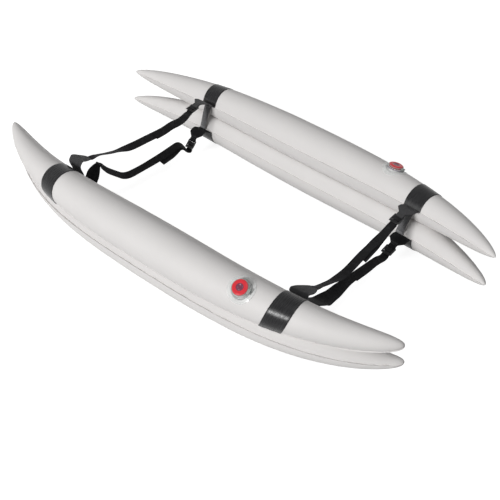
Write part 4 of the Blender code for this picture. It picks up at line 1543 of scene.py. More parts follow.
@dataclass(frozen=True)
class TabPattern:
    """The sizes that all tabs share, and how each of them starts and tapers."""

    base_width: float = 0.058
    webbing_width: float = 0.025
    thickness: float = 0.0015
    band_thickness: float = 0.0012
    near_taper: float = 0.036
    far_taper: float = 0.016
    straight_end: float = 0.024
    rounds: int = 5

    def start(self, shape: FloatShape, level: Level, end: End) -> list[Vector]:
        """The sewn part of a tab: over the weld flange and out past the tie.

        Args:
            shape: The float.
            level: Which tube.
            end: Which band.

        Returns:
            Two points.
        """
        along, _, flange = shape.seam_directions(level, end)
        away = along.cross(flange) * (shape.side * level.sign)
        base = shape.seam_middle(level, end) + away * (shape.fin_thickness / 2 + GAP + self.thickness / 2)
        first = base + flange * (self.band_thickness + 3 * GAP)
        return [first, base + flange * (shape.fin + 2 * GAP + 2 * self.thickness)]

    def widths(self, lengths: list[float], taper_end: float, taper: float, power: float = 1.0) -> list[float]:
        """Broad, then sloping shoulders down to webbing width.

        Args:
            lengths: Distances along the tab.
            taper_end: Where the webbing width is reached.
            taper: The shoulders' length.
            power: 1 for straight shoulders, and more for round ones.

        Returns:
            A width for each distance.
        """
        made = []
        for length in lengths:
            share = min(1.0, max(0.0, (length - taper_end + taper) / taper)) ** power
            made.append(self.base_width + (self.webbing_width - self.base_width) * share)
        return made


PATTERN = TabPattern()
# Near tabs: towards the board, up from the seam and sideways along it, in metres
NEAR_TAB_PROFILES = {
    UPPER_LEFT: (
        (0.007, 0.022, -0.020), (0.0135, 0.040, -0.013), (0.016, 0.0435, -0.012), (0.023, 0.0425, -0.011),
        (0.056, 0.029, -0.007),
    ),
    UPPER_RIGHT: (
        (0.008, 0.006, -0.009), (0.0135, 0.0115, -0.009), (0.017, 0.013, -0.0085), (0.024, 0.0115, -0.005),
        (0.061, -0.001, 0.005),
    ),
    LOWER_LEFT: ((0.018, 0.008, -0.006), (0.041, 0.043, -0.012), (0.069, 0.074, -0.012)),
    LOWER_RIGHT: ((0.013, 0.006, 0.000), (0.020, 0.020, 0.000), (0.030, 0.034, 0.000)),
}
# Where each strap's sag is measured from: towards the board, and up from the near seam
STRAP_STARTS = {
    UPPER_LEFT: (0.063, 0.029),
    UPPER_RIGHT: (0.058, 0.001),
    LOWER_LEFT: (0.062, 0.068),
    LOWER_RIGHT: (0.030, 0.034),
}
# Far tabs: towards the board, and up from the seam
FAR_TAB_PROFILES = {
    UPPER_LEFT: ((0.014, 0.015), (0.028, 0.026)),
    UPPER_RIGHT: ((0.018, 0.009),),
    LOWER_LEFT: ((0.018, 0.006), (0.034, 0.014)),
    LOWER_RIGHT: ((0.020, 0.003),),
}
# Pivots of the locks: towards the board, up from the far seam, and slope in degrees
LOCK_PLACES = {
    UPPER_LEFT: (0.068, 0.023, -12.0),
    UPPER_RIGHT: (0.057, 0.000, -16.0),
    LOWER_LEFT: (0.069, -0.017, -46.0),
    LOWER_RIGHT: (0.057, -0.015, -21.0),
}
# Share of the run, and height off the straight line
STRAP_SAGS = {
    UPPER_LEFT: (
        (0.05, 0.003), (0.14, -0.009), (0.26, -0.019), (0.37, -0.026), (0.55, -0.024), (0.70, -0.024),
        (0.80, -0.016), (0.88, -0.018), (0.94, -0.012),
    ),
    UPPER_RIGHT: (
        (0.10, -0.021), (0.29, -0.044), (0.42, -0.048), (0.56, -0.033), (0.71, -0.021), (0.88, -0.013),
    ),
    LOWER_LEFT: (
        (0.065, -0.010), (0.15, -0.031), (0.25, -0.054), (0.41, -0.038), (0.63, -0.011), (0.79, 0.014),
        (0.89, 0.030),
    ),
    LOWER_RIGHT: (
        (0.045, 0.000), (0.16, -0.021), (0.27, -0.023), (0.43, -0.011), (0.59, -0.004), (0.75, -0.002),
        (0.89, 0.000),
    ),
}
# Share of the run, and twist in degrees
STRAP_TWISTS = {
    UPPER_LEFT: (
        (0.0, 0.0), (0.08, -17.0), (0.22, -12.0), (0.42, 48.0), (0.80, 50.0), (0.92, 32.0), (1.0, 0.0),
    ),
    UPPER_RIGHT: (
        (0.0, 0.0), (0.09, -16.0), (0.22, -14.0), (0.40, 22.0), (0.58, 24.0), (0.70, 6.0), (0.80, 28.0),
        (0.90, 12.0), (1.0, 6.0),
    ),
    LOWER_LEFT: (
        (0.0, 0.0), (0.04, 40.0), (0.30, 42.0), (0.45, 26.0), (0.70, 48.0), (0.82, 34.0), (0.94, 30.0),
        (1.0, 0.0),
    ),
    LOWER_RIGHT: (
        (0.0, 0.0), (0.13, 0.0), (0.26, 30.0), (0.45, 38.0), (0.70, 28.0), (0.85, 36.0), (1.0, 6.0),
    ),
}
# Share of the run, and width in metres
STRAP_FLARES = {LOWER_RIGHT: ((0.0, 0.054), (0.12, 0.054), (0.35, 0.038), (0.55, 0.025))}
# How far a tail's end slides sideways and up, and its twist in degrees
TAIL_SLIDES = {
    UPPER_LEFT: (0.003, 0.000, -12.0),
    UPPER_RIGHT: (0.008, -0.002, 8.0),
    LOWER_LEFT: (0.008, -0.014, 30.0),
    LOWER_RIGHT: (0.003, 0.000, 0.0),
}
# How far a tie's lower end lies back along its seam
TIE_LEANS = {End.LEFT: 0.012, End.RIGHT: 0.016}


@dataclass(frozen=True)
class Tie:
    """The short strip that holds a float's two seams together."""

    shape: FloatShape
    end: End
    top_width: float = 0.031
    width: float = 0.026
    narrowing: float = 1.6
    bulge: float = 0.002
    stitched: float = 0.4
    top_row: float = 0.006
    bottom_rows: tuple[float, ...] = (0.008, 0.0045)
    steps: int = 44

    def build(self) -> None:
        """Make the tie and its hem stitches."""
        shape = self.shape
        along, _, flange = shape.seam_directions(Level.UPPER, self.end)
        reach = shape.fin + GAP + PATTERN.thickness / 2
        top = shape.seam_middle(Level.UPPER, self.end, reach)
        bottom = shape.seam_middle(Level.LOWER, self.end, reach) - along * TIE_LEANS[self.end]
        shares = [step / self.steps for step in range(self.steps + 1)]
        route = [top.lerp(bottom, share) + flange * (self.bulge * sin(pi * share)) for share in shares]
        widths = [self.top_width + (self.width - self.top_width) * min(1.0, share * self.narrowing)
                  for share in shares]
        name = named(shape.name, self.end, "tie")
        ribbon = Ribbon(route, [along] * len(route), widths, squared=False, ripple=0.0003, seed=4.0)
        add_piece(name + "_strip", ribbon.mesh(), TIE_WEBBING, (name,), shape.name.body)
        half = self.stitched * self.width
        places = [self.top_row] + [ribbon.lengths[-1] - row for row in self.bottom_rows]
        rows = [((place, -half), (place, half)) for place in places]
        thread = Stitching(ribbon).mesh(rows)
        add_piece(name + "_stitches", thread, PALE_THREAD, (), shape.name.body)


@dataclass(frozen=True)
class NearTab:
    """A tapered tab that carries a strap's sewn end."""

    site: Site
    shape: FloatShape = SHAPES[FloatName.NEAR]
    shoulder_power: float = 1.5
    ripple: float = 0.0005
    box_ends: tuple[float, float] = (0.0125, 0.0015)
    box_share: float = 0.42
    # Pale thread rows at the tab's base: painted highlight where the hem edge catches the light.
    seam_rows: tuple[float, ...] = (0.0185, 0.0195, 0.0205)
    seam_share: float = 0.47
    seam_pitch: float = 0.0030
    seam_stitch: float = 0.0028

    def corners(self) -> list[Vector]:
        """The corner points, from the seam to the tip.

        Returns:
            Points in the row frame.
        """
        points = PATTERN.start(self.shape, *self.site)
        along, _, _ = self.shape.seam_directions(*self.site)
        for towards, rise, sway in NEAR_TAB_PROFILES[self.site]:
            points.append(self.shape.in_profile(*self.site, towards, rise) + along * sway)
        return points

    def build(self) -> None:
        """Make the tab, its stitching, and pale thread rows at its base that paint a highlight."""
        level, end = self.site
        along, _, _ = self.shape.seam_directions(level, end)
        route = cut_route(self.corners(), PATTERN.rounds)
        lengths = route_lengths(route)
        widths = PATTERN.widths(lengths, lengths[-1], PATTERN.near_taper, self.shoulder_power)
        name, body = named(FloatName.NEAR, level, end, "tab"), self.shape.name.body
        seed = 2.0 * level.sign + (0.0 if end is End.LEFT else 9.0)
        ribbon = Ribbon(route, [along] * len(route), widths, squared=False, ripple=self.ripple, seed=seed)
        add_piece(name + "_fabric", ribbon.mesh(), TAB_SHADE_BY_LEVEL[level], (name,), body)
        half = self.box_share * PATTERN.webbing_width
        first, last = (lengths[-1] - place for place in self.box_ends)
        box = [(first, -half), (last, -half), (last, half), (first, half)]
        rows = [(box[a], box[b]) for a, b in ((0, 1), (3, 2), (0, 3), (1, 2), (0, 2), (3, 1))]
        thread = Stitching(ribbon).mesh(rows, (1.0,))
        add_piece(name + "_stitches", thread, THREAD, (), body)
        # Painted highlight: pale thread rows along the tab's base stand for light caught by the hem edge.
        reach = self.seam_share * PATTERN.base_width
        rows = [((at, -reach), (at, reach)) for at in self.seam_rows]
        seam = Stitching(ribbon, self.seam_pitch, self.seam_stitch).mesh(rows, (1.0,))
        add_piece(name + "_seam_stitches", seam, PALE_THREAD, (), body)


# Ladder lock


@dataclass(frozen=True)
class LadderLock:
    """A ladder lock for 25 mm webbing. Its frame is at the pivot: X across, Y along the strap, Z up."""

    site: Site
    thickness: float = 0.0045
    rounding: float = 0.0010
    rail: float = 0.0040
    side_clearance: float = 0.001
    back_slot: float = 0.0080
    middle_bar: float = 0.0050
    front_slot: float = 0.0050
    front_bar: float = 0.0055
    lip_rise: float = 0.0032
    lip_overhang: float = 0.0035
    rib: float = 0.0007
    lead_in: float = 0.004
    waist: float = 0.94

    @property
    def name(self) -> str:
        """The CAD node's name."""
        return named(*self.site, "buckle")

    @property
    def body(self) -> str:
        """The CAD body's name."""
        return named(*self.site, "lock")

    @property
    def slot_half(self) -> float:
        """Half the width of the slots."""
        return PATTERN.webbing_width / 2 + self.side_clearance

    @property
    def middle_start(self) -> float:
        """Where the middle bar starts."""
        return self.thickness / 2 + self.back_slot

    @property
    def middle_end(self) -> float:
        """Where the middle bar ends."""
        return self.middle_start + self.middle_bar

    @property
    def front_start(self) -> float:
        """Where the front bar starts."""
        return self.middle_end + self.front_slot

    @property
    def front_end(self) -> float:
        """Where the frame ends."""
        return self.front_start + self.front_bar

    @property
    def entry(self) -> float:
        """Where the strap comes in under the lip."""
        return self.front_end + self.lead_in

    @property
    def webbing_reach(self) -> float:
        """From a face to the middle of the webbing that lies on it."""
        return GAP + PATTERN.thickness / 2

    @property
    def under_bar(self) -> float:
        """The height of the webbing that leaves under the middle bar."""
        return -(self.thickness / 2 + self.webbing_reach)

    @property
    def under_tail(self) -> float:
        """The height of the webbing that comes in, under that."""
        return self.under_bar - PATTERN.thickness - 2 * GAP

    def matrix(self) -> Matrix:
        """The lock's place: on its pivot, facing the near float.

        Returns:
            The matrix in the row frame.
        """
        shape = SHAPES[FloatName.FAR]
        towards, rise, slope = LOCK_PLACES[self.site]
        along, towards_board, _ = shape.seam_directions(*self.site)
        outward = (towards_board * cos(radians(slope)) + UP * sin(radians(slope))).normalized()
        across = (-along - outward * -along.dot(outward)).normalized()
        pivot = shape.in_profile(*self.site, towards, rise)
        return standing(pivot, across, outward, across.cross(outward))

    def arc(self, x: float, y: float, radius: float, start: float, end: float, steps: int) -> Outline:
        """Points on an arc round a centre, from its first angle to its last one in degrees."""
        turns = [radians(start + (end - start) * i / steps) for i in range(steps + 1)]
        return [(x + radius * cos(turn), y + radius * sin(turn)) for turn in turns]

    def outlines(self) -> list[Outline]:
        """The plan: a frame open at the back between two rails, and the front slot.

        Returns:
            Closed outlines.
        """
        inner, outer = self.slot_half, self.slot_half + self.rail
        corner, rail_end = self.rail * 0.75, self.rail / 2
        rail_middle = inner + rail_end
        frame = self.arc(outer - corner, self.front_end - corner, corner, 0, 90, 8)
        frame += self.arc(corner - outer, self.front_end - corner, corner, 90, 180, 8)
        frame += self.arc(-rail_middle, 0.0, rail_end, 180, 360, 12)
        frame += [(-inner, self.middle_start), (inner, self.middle_start)]
        frame += self.arc(rail_middle, 0.0, rail_end, 180, 360, 12)
        turn, slot = self.front_slot / 3, []
        right, back, front = inner - turn, self.middle_end + turn, self.front_start - turn
        for x, y, start in ((right, front, 0), (-right, front, 90), (-right, back, 180), (right, back, 270)):
            slot += self.arc(x, y, turn, start, start + 90, 5)
        return [frame, slot]

    def plate(self) -> Mesh:
        """The flat frame with rounded edges.

        Returns:
            The mesh in the lock's own frame.
        """
        curve = bpy.data.curves.new(self.name + "_plan", "CURVE")
        curve.dimensions = "2D"
        curve.fill_mode = "BOTH"
        curve.extrude = self.thickness / 2 - self.rounding
        curve.bevel_depth = self.rounding
        curve.bevel_resolution = 3
        curve.offset = -self.rounding
        for outline in self.outlines():
            spline = curve.splines.new("POLY")
            spline.points.add(len(outline) - 1)
            for point, (x, y) in zip(spline.points, outline):
                point.co = (x, y, 0.0, 1.0)
            spline.use_cyclic_u = True
        holder = put_in_scene(self.name + "_plan", curve)
        bpy.context.view_layer.update()
        evaluated = holder.evaluated_get(bpy.context.evaluated_depsgraph_get())
        mesh = bpy.data.meshes.new_from_object(evaluated)
        bpy.data.objects.remove(holder, do_unlink=True)
        return mesh

    def bar(self, radius: float, half: float) -> Mesh:
        """A round bar across, thicker where it meets the rails.

        Args:
            radius: Its radius.
            half: Half its length.

        Returns:
            The mesh in the lock's own frame.
        """
        left = [(-half, 1.0), (-half + 0.002, 1.0), (-half + 0.0035, self.waist)]
        spread = left + [(0.0, self.waist)] + mirrored(left)
        turns = np.linspace(0.0, 2 * pi, 33)
        points = np.array([
            [(x, radius * share * cos(turn), radius * share * sin(turn)) for turn in turns]
            for x, share in spread
        ])
        return grid_mesh(points, points[..., :2], caps=True)

    def lip(self) -> Mesh:
        """The raised thumb lip with its grip ribs.

        Returns:
            The mesh in the lock's own frame.
        """
        start, end = self.front_start + self.rounding, self.front_end + self.lip_overhang
        low, top = -self.thickness / 4, self.thickness / 2
        ridge = []
        count = 60
        for step in range(count + 1):
            share = step / count
            bump = self.rib * max(0.0, sin(share * pi * 9)) if 0.08 < share < 0.93 else 0.0
            ridge.append((start + (end - start) * share, top + self.lip_rise * share**1.3 + bump))
        under = [
            (end + 0.0006, top + self.lip_rise * 0.8), (end + 0.0004, top + self.lip_rise * 0.3),
            (end, top - 0.0004), (self.front_end - self.rounding, low), (start, low),
        ]
        profile = ridge + under + [ridge[0]]
        half = self.slot_half + self.rail / 2
        left = [(-half, 0.90), (-half + 0.0004, 0.97), (-half + 0.0012, 1.0)]
        along, up = (start + end) / 2, (low + top) / 2
        points = np.array([
            [(x, along + (y - along) * share, up + (z - up) * share) for y, z in profile]
            for x, share in left + mirrored(left)
        ])
        return grid_mesh(points, points[..., :2], caps=True, sharp=40)

    def build(self) -> None:
        """Make the lock."""
        pivot = self.bar(self.thickness / 2, self.slot_half + self.rail / 2)
        mesh = joined([self.plate(), pivot, self.lip()], look_out=True)
        mesh.shade_smooth()
        mesh.set_sharp_from_angle(angle=radians(35))
        mesh.transform(self.matrix())
        add_piece(self.name + "_moulding", mesh, LOCK_PLASTIC, (self.name,), self.body)


@dataclass(frozen=True)
class FarTab:
    """A tapered tab whose end loops round a lock's pivot bar and is sewn back under itself."""

    lock: LadderLock
    shape: FloatShape = SHAPES[FloatName.FAR]
    rows_before_tip: tuple[float, ...] = (-0.002, 0.003, 0.0065)
    row_share: float = 0.42
    seam_row: float = 0.003
    seam_share: float = 0.45
    loop_steps: tuple[float, ...] = (0.0005, 0.0022, 0.0080)
    rounds: int = 4

    def build(self) -> None:
        """Make the tab and its stitching."""
        lock = self.lock
        along, _, _ = self.shape.seam_directions(*lock.site)
        matrix = lock.matrix()
        radius = lock.thickness / 2
        reach = radius + lock.webbing_reach
        points = PATTERN.start(self.shape, *lock.site)
        points += [self.shape.in_profile(*lock.site, *place) for place in FAR_TAB_PROFILES[lock.site]]
        points += [matrix @ Vector((0.0, -share * PATTERN.straight_end, reach)) for share in (1.0, 0.5)]
        route = cut_route(points, self.rounds)
        taper_end = route_lengths(route)[-1]
        for angle in range(90, -91, -12):
            turn = radians(angle)
            route.append(matrix @ Vector((0.0, reach * cos(turn), reach * sin(turn))))
        layer = reach - PATTERN.thickness - GAP
        heights = (-reach, -reach, layer, layer)
        back = [Vector((0.0, -y, z)) for y, z in zip((*self.loop_steps, PATTERN.straight_end), heights)]
        route += [matrix @ point for point in filleted(back, radius)]
        across = (matrix.to_3x3() @ Vector((-1.0, 0.0, 0.0))).normalized()
        lengths = route_lengths(route)
        sides = [along.lerp(across, min(1.0, length / taper_end)) for length in lengths]
        name, body = named(FloatName.FAR, *lock.site, "tab"), self.shape.name.body
        ribbon = Ribbon(route, sides, PATTERN.widths(lengths, taper_end, PATTERN.far_taper))
        add_piece(name + "_fabric", ribbon.mesh(), TAB_SHADE_BY_LEVEL[lock.site[0]], (name,), body)
        half, broad = self.row_share * PATTERN.webbing_width, self.seam_share * PATTERN.base_width
        rows = [((taper_end - at, -half), (taper_end - at, half)) for at in self.rows_before_tip]
        rows.append(((self.seam_row, -broad), (self.seam_row, broad)))
        thread = Stitching(ribbon).mesh(rows, (1.0,))
        add_piece(name + "_stitches", thread, THREAD, (), body)


@dataclass(frozen=True)
class Strap:
    """One length of webbing, sewn under the near tab and threaded through the far lock."""

    lock: LadderLock
    overlap: float = 0.014
    lead: float = 0.012
    flexible: float = 0.045
    tail_length: float = 0.160
    tail_lift: float = 0.004
    tail_hold: float = 0.15
    tail_ease: float = 0.6
    slack: float = 0.0040
    dip: float = 0.0005
    cup: float = 0.0002
    rounds: int = 4

    def run(self) -> list[Vector]:
        """The free run, from under the near tab's tip to the lock's underside.

        Returns:
            The route.
        """
        lock = self.lock
        tab = NearTab(lock.site)
        before, tip = tab.corners()[-2:]
        along, _, _ = tab.shape.seam_directions(*lock.site)
        outward = (tip - before).normalized()
        under = outward.cross(along).normalized() * (PATTERN.thickness + GAP)
        start = tab.shape.in_profile(*lock.site, *STRAP_STARTS[lock.site]) + under
        matrix = lock.matrix()
        entry = matrix @ Vector((0.0, lock.entry, lock.under_tail))
        approach = matrix @ Vector((0.0, lock.entry + self.lead, lock.under_tail - self.dip))
        points = [tip + under - outward * self.overlap, tip + under, tip + under + outward * self.lead / 2]
        for share, height in STRAP_SAGS[lock.site]:
            points.append(start.lerp(entry, share) + UP * height)
        return cut_route(points + [approach, entry], self.rounds)

    def run_sides(self, run: list[Vector], across: Vector) -> list[Vector]:
        """The direction across the run, which twists on its way.

        Args:
            run: The route.
            across: The direction across the lock.

        Returns:
            A direction for each point.
        """
        along, _, _ = SHAPES[FloatName.NEAR].seam_directions(*self.lock.site)
        lengths = route_lengths(run)
        sides = []
        for tangent, length in zip(tangents(run), lengths):
            share = max(0.0, length - self.overlap) / (lengths[-1] - self.overlap)
            side = along.lerp(across, share)
            side = (side - tangent * side.dot(tangent)).normalized()
            twist = radians(eased(STRAP_TWISTS[self.lock.site], share))
            sides.append(Matrix.Rotation(twist, 3, tangent) @ side)
        return sides

    def inside(self) -> list[Vector]:
        """The route through the lock: under the lip, up round the middle bar and out again.

        Returns:
            Points in the lock's own frame.
        """
        lock = self.lock
        over = lock.thickness / 2 + lock.webbing_reach
        back = lock.middle_start - lock.webbing_reach - self.slack
        front = lock.middle_end + lock.webbing_reach + self.slack / 3
        corners = [Vector((0.0, y, z)) for y, z in (
            (lock.entry, lock.under_tail), (back, lock.under_tail), (back, over), (front, over),
            (front, lock.under_bar), (lock.entry, lock.under_bar),
        )]
        return filleted(corners, lock.rounding + lock.webbing_reach)

    def tail(self, run: list[Vector], sides: list[Vector]) -> tuple[list[Vector], list[Vector]]:
        """The free tail, which lies on the run and slides off it towards its end.

        Args:
            run: The run's route.
            sides: The directions across the run.

        Returns:
            The route, from the lock outwards, and the directions across it.
        """
        back, turned = list(reversed(run)), list(reversed(sides))
        slide, drop, twist = TAIL_SLIDES[self.lock.site]
        route, made = [], []
        for point, side, tangent, length in zip(back, turned, tangents(back), route_lengths(back)):
            if length < self.tail_length:
                share = length / self.tail_length
                off = float(smooth_step((share - self.tail_hold) / self.tail_ease))
                lift = self.lock.under_bar - self.lock.under_tail + self.tail_lift * share
                face = side.cross(tangent).normalized()
                route.append(point + face * lift + side * (slide * off) + UP * (drop * off))
                made.append(Matrix.Rotation(radians(twist * off), 3, tangent) @ side)
        return route, made

    def piece(self, part: str, ribbon: Ribbon, body: str | None = None) -> bpy.types.Object:
        """One stretch of the strap as a piece, which rides on a body if one is given."""
        node = named(*self.lock.site, "strap")
        return add_piece(named(node, part), ribbon.mesh(), STRAP_WEBBING, (node,), body)

    def build(self) -> None:
        """Make the strap's run, its lead into the lock, its turn round the bar and its tail."""
        matrix = self.lock.matrix()
        across = (matrix.to_3x3() @ Vector((-1.0, 0.0, 0.0))).normalized()
        run = self.run()
        sides = self.run_sides(run, across)
        width = PATTERN.webbing_width
        lengths = route_lengths(run)
        split = next(i for i, length in enumerate(lengths) if length > lengths[-1] - self.flexible)
        flare = STRAP_FLARES.get(self.lock.site, ((0.0, width), (1.0, width)))
        widths = [eased(flare, length / lengths[-1]) for length in lengths]
        free = slice(split + 1)
        main = self.piece("run", Ribbon(run[free], sides[free], widths[free], cup=self.cup))
        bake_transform(main)
        lead = self.piece("lead", Ribbon(run[split:], sides[split:], [width] * (len(run) - split)))
        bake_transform(lead)
        turn = [matrix @ point for point in self.inside()]
        self.piece("turn", Ribbon(turn, [across] * len(turn), [width] * len(turn)), self.lock.body)
        route, turned = self.tail(run, sides)
        tail = self.piece("tail", Ribbon(route, turned, [width] * len(route), cup=self.cup))
        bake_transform(tail)


# Valve


# Station, and degrees from the crown towards the board
VALVE_PLACES = {FloatName.NEAR: (0.3555, -20.5), FloatName.FAR: (0.345, -4.0)}


def valve_matrix(shape: FloatShape) -> Matrix:
    """A valve's place on the skin of its upper tube: X along the tube and Z out of the skin.

    Args:
        shape: The float.

    Returns:
        The matrix in the row frame.
    """
    x, angle = VALVE_PLACES[shape.name]
    step = Valve.flange_radius / 2
    along = shape.point(Level.UPPER, x + step, angle) - shape.point(Level.UPPER, x - step, angle)
    around = shape.point(Level.UPPER, x, angle + 10) - shape.point(Level.UPPER, x, angle - 10)
    along = along.normalized()
    outward = along.cross(around * shape.side).normalized()
    return standing(shape.point(Level.UPPER, x, angle), along, outward.cross(along), outward)


@dataclass(frozen=True)
class Valve:
    """A screw valve: clear flange, insert, seal, flap, cap and tether."""

    shape: FloatShape
    flange_radius: float = 0.039
    flange_thickness: float = 0.0008
    collar_radius: float = 0.0285
    collar_top: float = 0.0020
    collar_depth: float = 0.0130
    thread_radius: float = 0.0205
    rim_radius: float = 0.0245
    neck_radius: float = 0.0135
    bore: float = 0.0100
    cap_radius: float = 0.0220
    disc_radius: float = 0.0105
    rim_bottom: float = 0.0038
    rim_top: float = 0.0055
    tether_bottom: float = 0.0058
    tether_thickness: float = 0.0012
    cap_bottom: float = 0.0073
    groove_bottom: float = 0.0089
    groove_top: float = 0.0111
    neck_top: float = 0.0107
    cap_top: float = 0.0138
    insert_bottom: float = -0.0127
    seat_bottom: float = -0.0092
    seat_top: float = -0.0077
    tether_reach: float = 0.0300
    tether_width: float = 0.0140
    chamfer: float = 0.0006
    thread_depth: float = 0.0007
    thread_turns: int = 5
    seat_ledge: float = 0.002
    air_hole: float = 0.0019
    cap_steps: int = 240
    cap_ribs: int = 30
    cap_skin: float = 0.0016
    wall_step: float = 0.0012
    rib_depth: float = 0.0007
    ring_width: float = 0.0035
    grip_relief: float = 0.00035
    grip_pitch: float = 0.0022

    @property
    def prefix(self) -> str:
        """What the names of all its nodes start with."""
        return named(self.shape.name, "valve_")

    @property
    def cap_body(self) -> str:
        """The CAD body of the cap and the tether."""
        return named(self.shape.name, "cap")

    def place(self, part: str, mesh: Mesh, finish: Finish, slot: str, node: str, body: str) -> None:
        """Stand a part of the valve on the skin, as a piece for one of its nodes."""
        mesh.transform(valve_matrix(self.shape))
        add_piece(self.prefix + part, mesh, finish, (self.prefix + node,), body)

    def skin_height(self, radius: float, turn: float) -> float:
        """The skin's height in the valve's frame.

        Args:
            radius: Distance from the valve's axis.
            turn: Angle round the valve.

        Returns:
            The height, in metres.
        """
        x, angle = VALVE_PLACES[self.shape.name]
        station = x + radius * cos(turn)
        around = degrees(asin(radius * sin(turn) / float(self.shape.radius(np.array(station)))))
        point = self.shape.point(Level.UPPER, station, angle + self.shape.side * around)
        return (valve_matrix(self.shape).inverted() @ point).z

    def flange(self, steps: int = 72) -> Mesh:
        """The clear flange: a collar in the skin, and a skirt that follows it.

        Args:
            steps: Facets round the valve.

        Returns:
            The mesh in the valve's frame.
        """
        bore, collar, top = self.thread_radius + GAP, self.collar_radius, self.collar_top
        reach = self.flange_radius - collar
        rows = []
        for step in range(steps + 1):
            turn = 2 * pi * step / steps
            skirt = [(collar + reach * share, share) for share in (0.0, 0.25, 0.5, 0.75, 0.9, 1.0)]
            skirt = [(radius, self.skin_height(radius, turn) + SKIN_GAP, share) for radius, share in skirt]
            profile = [(bore, top - self.chamfer), (bore + self.chamfer, top), (collar - 0.0008, top),
                       (collar, top - self.chamfer)]
            profile += [(radius, height + self.flange_thickness * (1.0 if share < 0.9 else 0.7))
                        for radius, height, share in skirt]
            profile += [(radius, height) for radius, height, _ in reversed(skirt)]
            profile += [(collar, -self.collar_depth), (bore, -self.collar_depth), profile[0]]
            rows.append([(radius * cos(turn), radius * sin(turn), height) for radius, height in profile])
        points = np.array(rows)
        return grid_mesh(points, points[..., :2], sharp=45)

    def insert(self) -> Mesh:
        """The insert: neck, rim, thread and pierced seat.

        Returns:
            The mesh in the valve's frame.
        """
        neck, thread, ledge = self.neck_radius, self.thread_radius, self.bore + self.seat_ledge
        profile = rounded_profile([
            (self.bore, self.neck_top), (neck, self.neck_top), (neck, self.rim_top),
            (self.rim_radius, self.rim_top), (self.rim_radius, self.rim_bottom), (thread, self.rim_bottom),
        ], self.chamfer)
        depth = self.rim_bottom - self.insert_bottom - 0.0010
        for step in range(self.thread_turns * 4):
            share = step / (self.thread_turns * 4)
            cut = self.thread_depth * (0.5 - 0.5 * cos(2 * pi * share * self.thread_turns))
            profile.append((thread - cut, self.rim_bottom - self.chamfer - depth * share))
        profile += [
            (thread, self.insert_bottom), (ledge, self.insert_bottom), (ledge, self.seat_bottom),
            (self.air_hole, self.seat_bottom), (self.air_hole, self.seat_top), (self.bore, self.seat_top),
            (self.bore, self.neck_top),
        ]
        return turned_mesh(profile)

    def cap(self) -> Mesh:
        """The cap: a shallow dome with a ribbed wall, a groove for the tether and a recess.

        Returns:
            The mesh in the valve's frame.
        """
        top, wall, groove = self.cap_top, self.cap_radius, self.cap_radius - self.wall_step
        cavity, roof = self.neck_radius + GAP, self.cap_top - self.cap_skin
        profile = rounded_profile([
            (self.disc_radius, top - 0.0006), (self.disc_radius, top), (wall - 0.0045, top - 0.0004),
            (groove, top - 0.0012), (wall, top - 0.0025), (wall, self.groove_top), (groove, self.groove_top),
            (groove, self.groove_bottom), (wall, self.groove_bottom), (wall, self.cap_bottom),
            (cavity, self.cap_bottom), (cavity, roof), (0.0, roof),
        ], 0.0005, 3)
        ribbed = tuple(row for row, (reach, _) in enumerate(profile) if reach > wall - 0.0009)
        return turned_mesh(profile, self.cap_steps, self.cap_ribs, self.rib_depth, ribbed)

    def disc(self) -> Mesh:
        """The cap's coloured centre, dished, with a raised ring.

        Returns:
            The mesh in the valve's frame.
        """
        rows = (
            (0.0, -0.0010), (0.004, -0.0009), (0.0062, -0.0004), (0.0070, 0.0001), (0.0076, -0.0003),
            (0.0092, -0.0004), (self.disc_radius, -0.0003), (self.disc_radius, -0.0011),
        )
        return turned_mesh([(radius, self.cap_top + rise) for radius, rise in rows])

    def tether(self) -> Mesh:
        """The tether: a ring round the neck, a ring round the cap, and the ribbed grip between them.

        Returns:
            The mesh in the valve's frame.
        """
        inner, cap_outer = self.neck_radius + GAP, self.cap_radius + self.tether_thickness
        rings = []
        for first, last, low, high in (
            (inner, inner + self.ring_width, self.tether_bottom, self.tether_bottom + self.tether_thickness),
            (self.cap_radius - 0.0009, cap_outer, self.groove_bottom + GAP, self.groove_top - GAP),
        ):
            corners = [(first, high), (last, high), (last, low), (first, low), (first, high)]
            rings.append(turned_mesh(rounded_profile(corners, 0.0003, 2)))
        low, high = self.tether_bottom + self.tether_thickness / 2, (self.groove_top + self.groove_bottom) / 2
        corners = [(inner + 0.0012, low), (self.tether_reach, low), (self.tether_reach, high),
                   (cap_outer - 0.0006, high)]
        route = filleted([Vector((x, 0.0, z)) for x, z in corners], (high - low) / 2.2)
        fine = []
        for start, end in zip(route, route[1:]):
            count = max(1, int((end - start).length / 0.0004))
            fine += [start.lerp(end, step / count) for step in range(count)]
        fine.append(route[-1])
        widths = [self.tether_width * (1.0 if point.x > self.cap_radius - 0.002 else 0.75) for point in fine]
        sides = [Vector((0.0, 1.0, 0.0))] * len(fine)
        grip = Ribbon(fine, sides, widths, self.tether_thickness * 0.9).mesh()
        for vertex in grip.vertices:
            if vertex.co.x > self.cap_radius + 0.001:
                vertex.co.z += self.grip_relief * sin(vertex.co.y * 2 * pi / self.grip_pitch)
        return joined(rings + [grip])

    def build(self) -> None:
        """Make the valve."""
        float_body, insert_body = self.shape.name.body, named(self.shape.name, "insert")
        self.place("flange_ring", self.flange(), CLEAR, "valve_flange", "flange", float_body)
        self.place("insert_screw", self.insert(), PALE_PLASTIC, "valve_insert", "insert", insert_body)
        self.place("cap_shell", self.cap(), RED_PLASTIC, "valve_cap", "cap", self.cap_body)
        self.place("cap_disc", self.disc(), PURPLE_PLASTIC, "valve_cap", "cap", self.cap_body)
        self.place("tether_grip", self.tether(), TETHER_PLASTIC, "valve_tether", "tether", self.cap_body)
        for part in ("seal", "flap"):
            node = frame["nodes"][self.prefix + part]
            node.data.materials.clear()
            node.data.materials.append(PURPLE_RUBBER.material())


# Stage


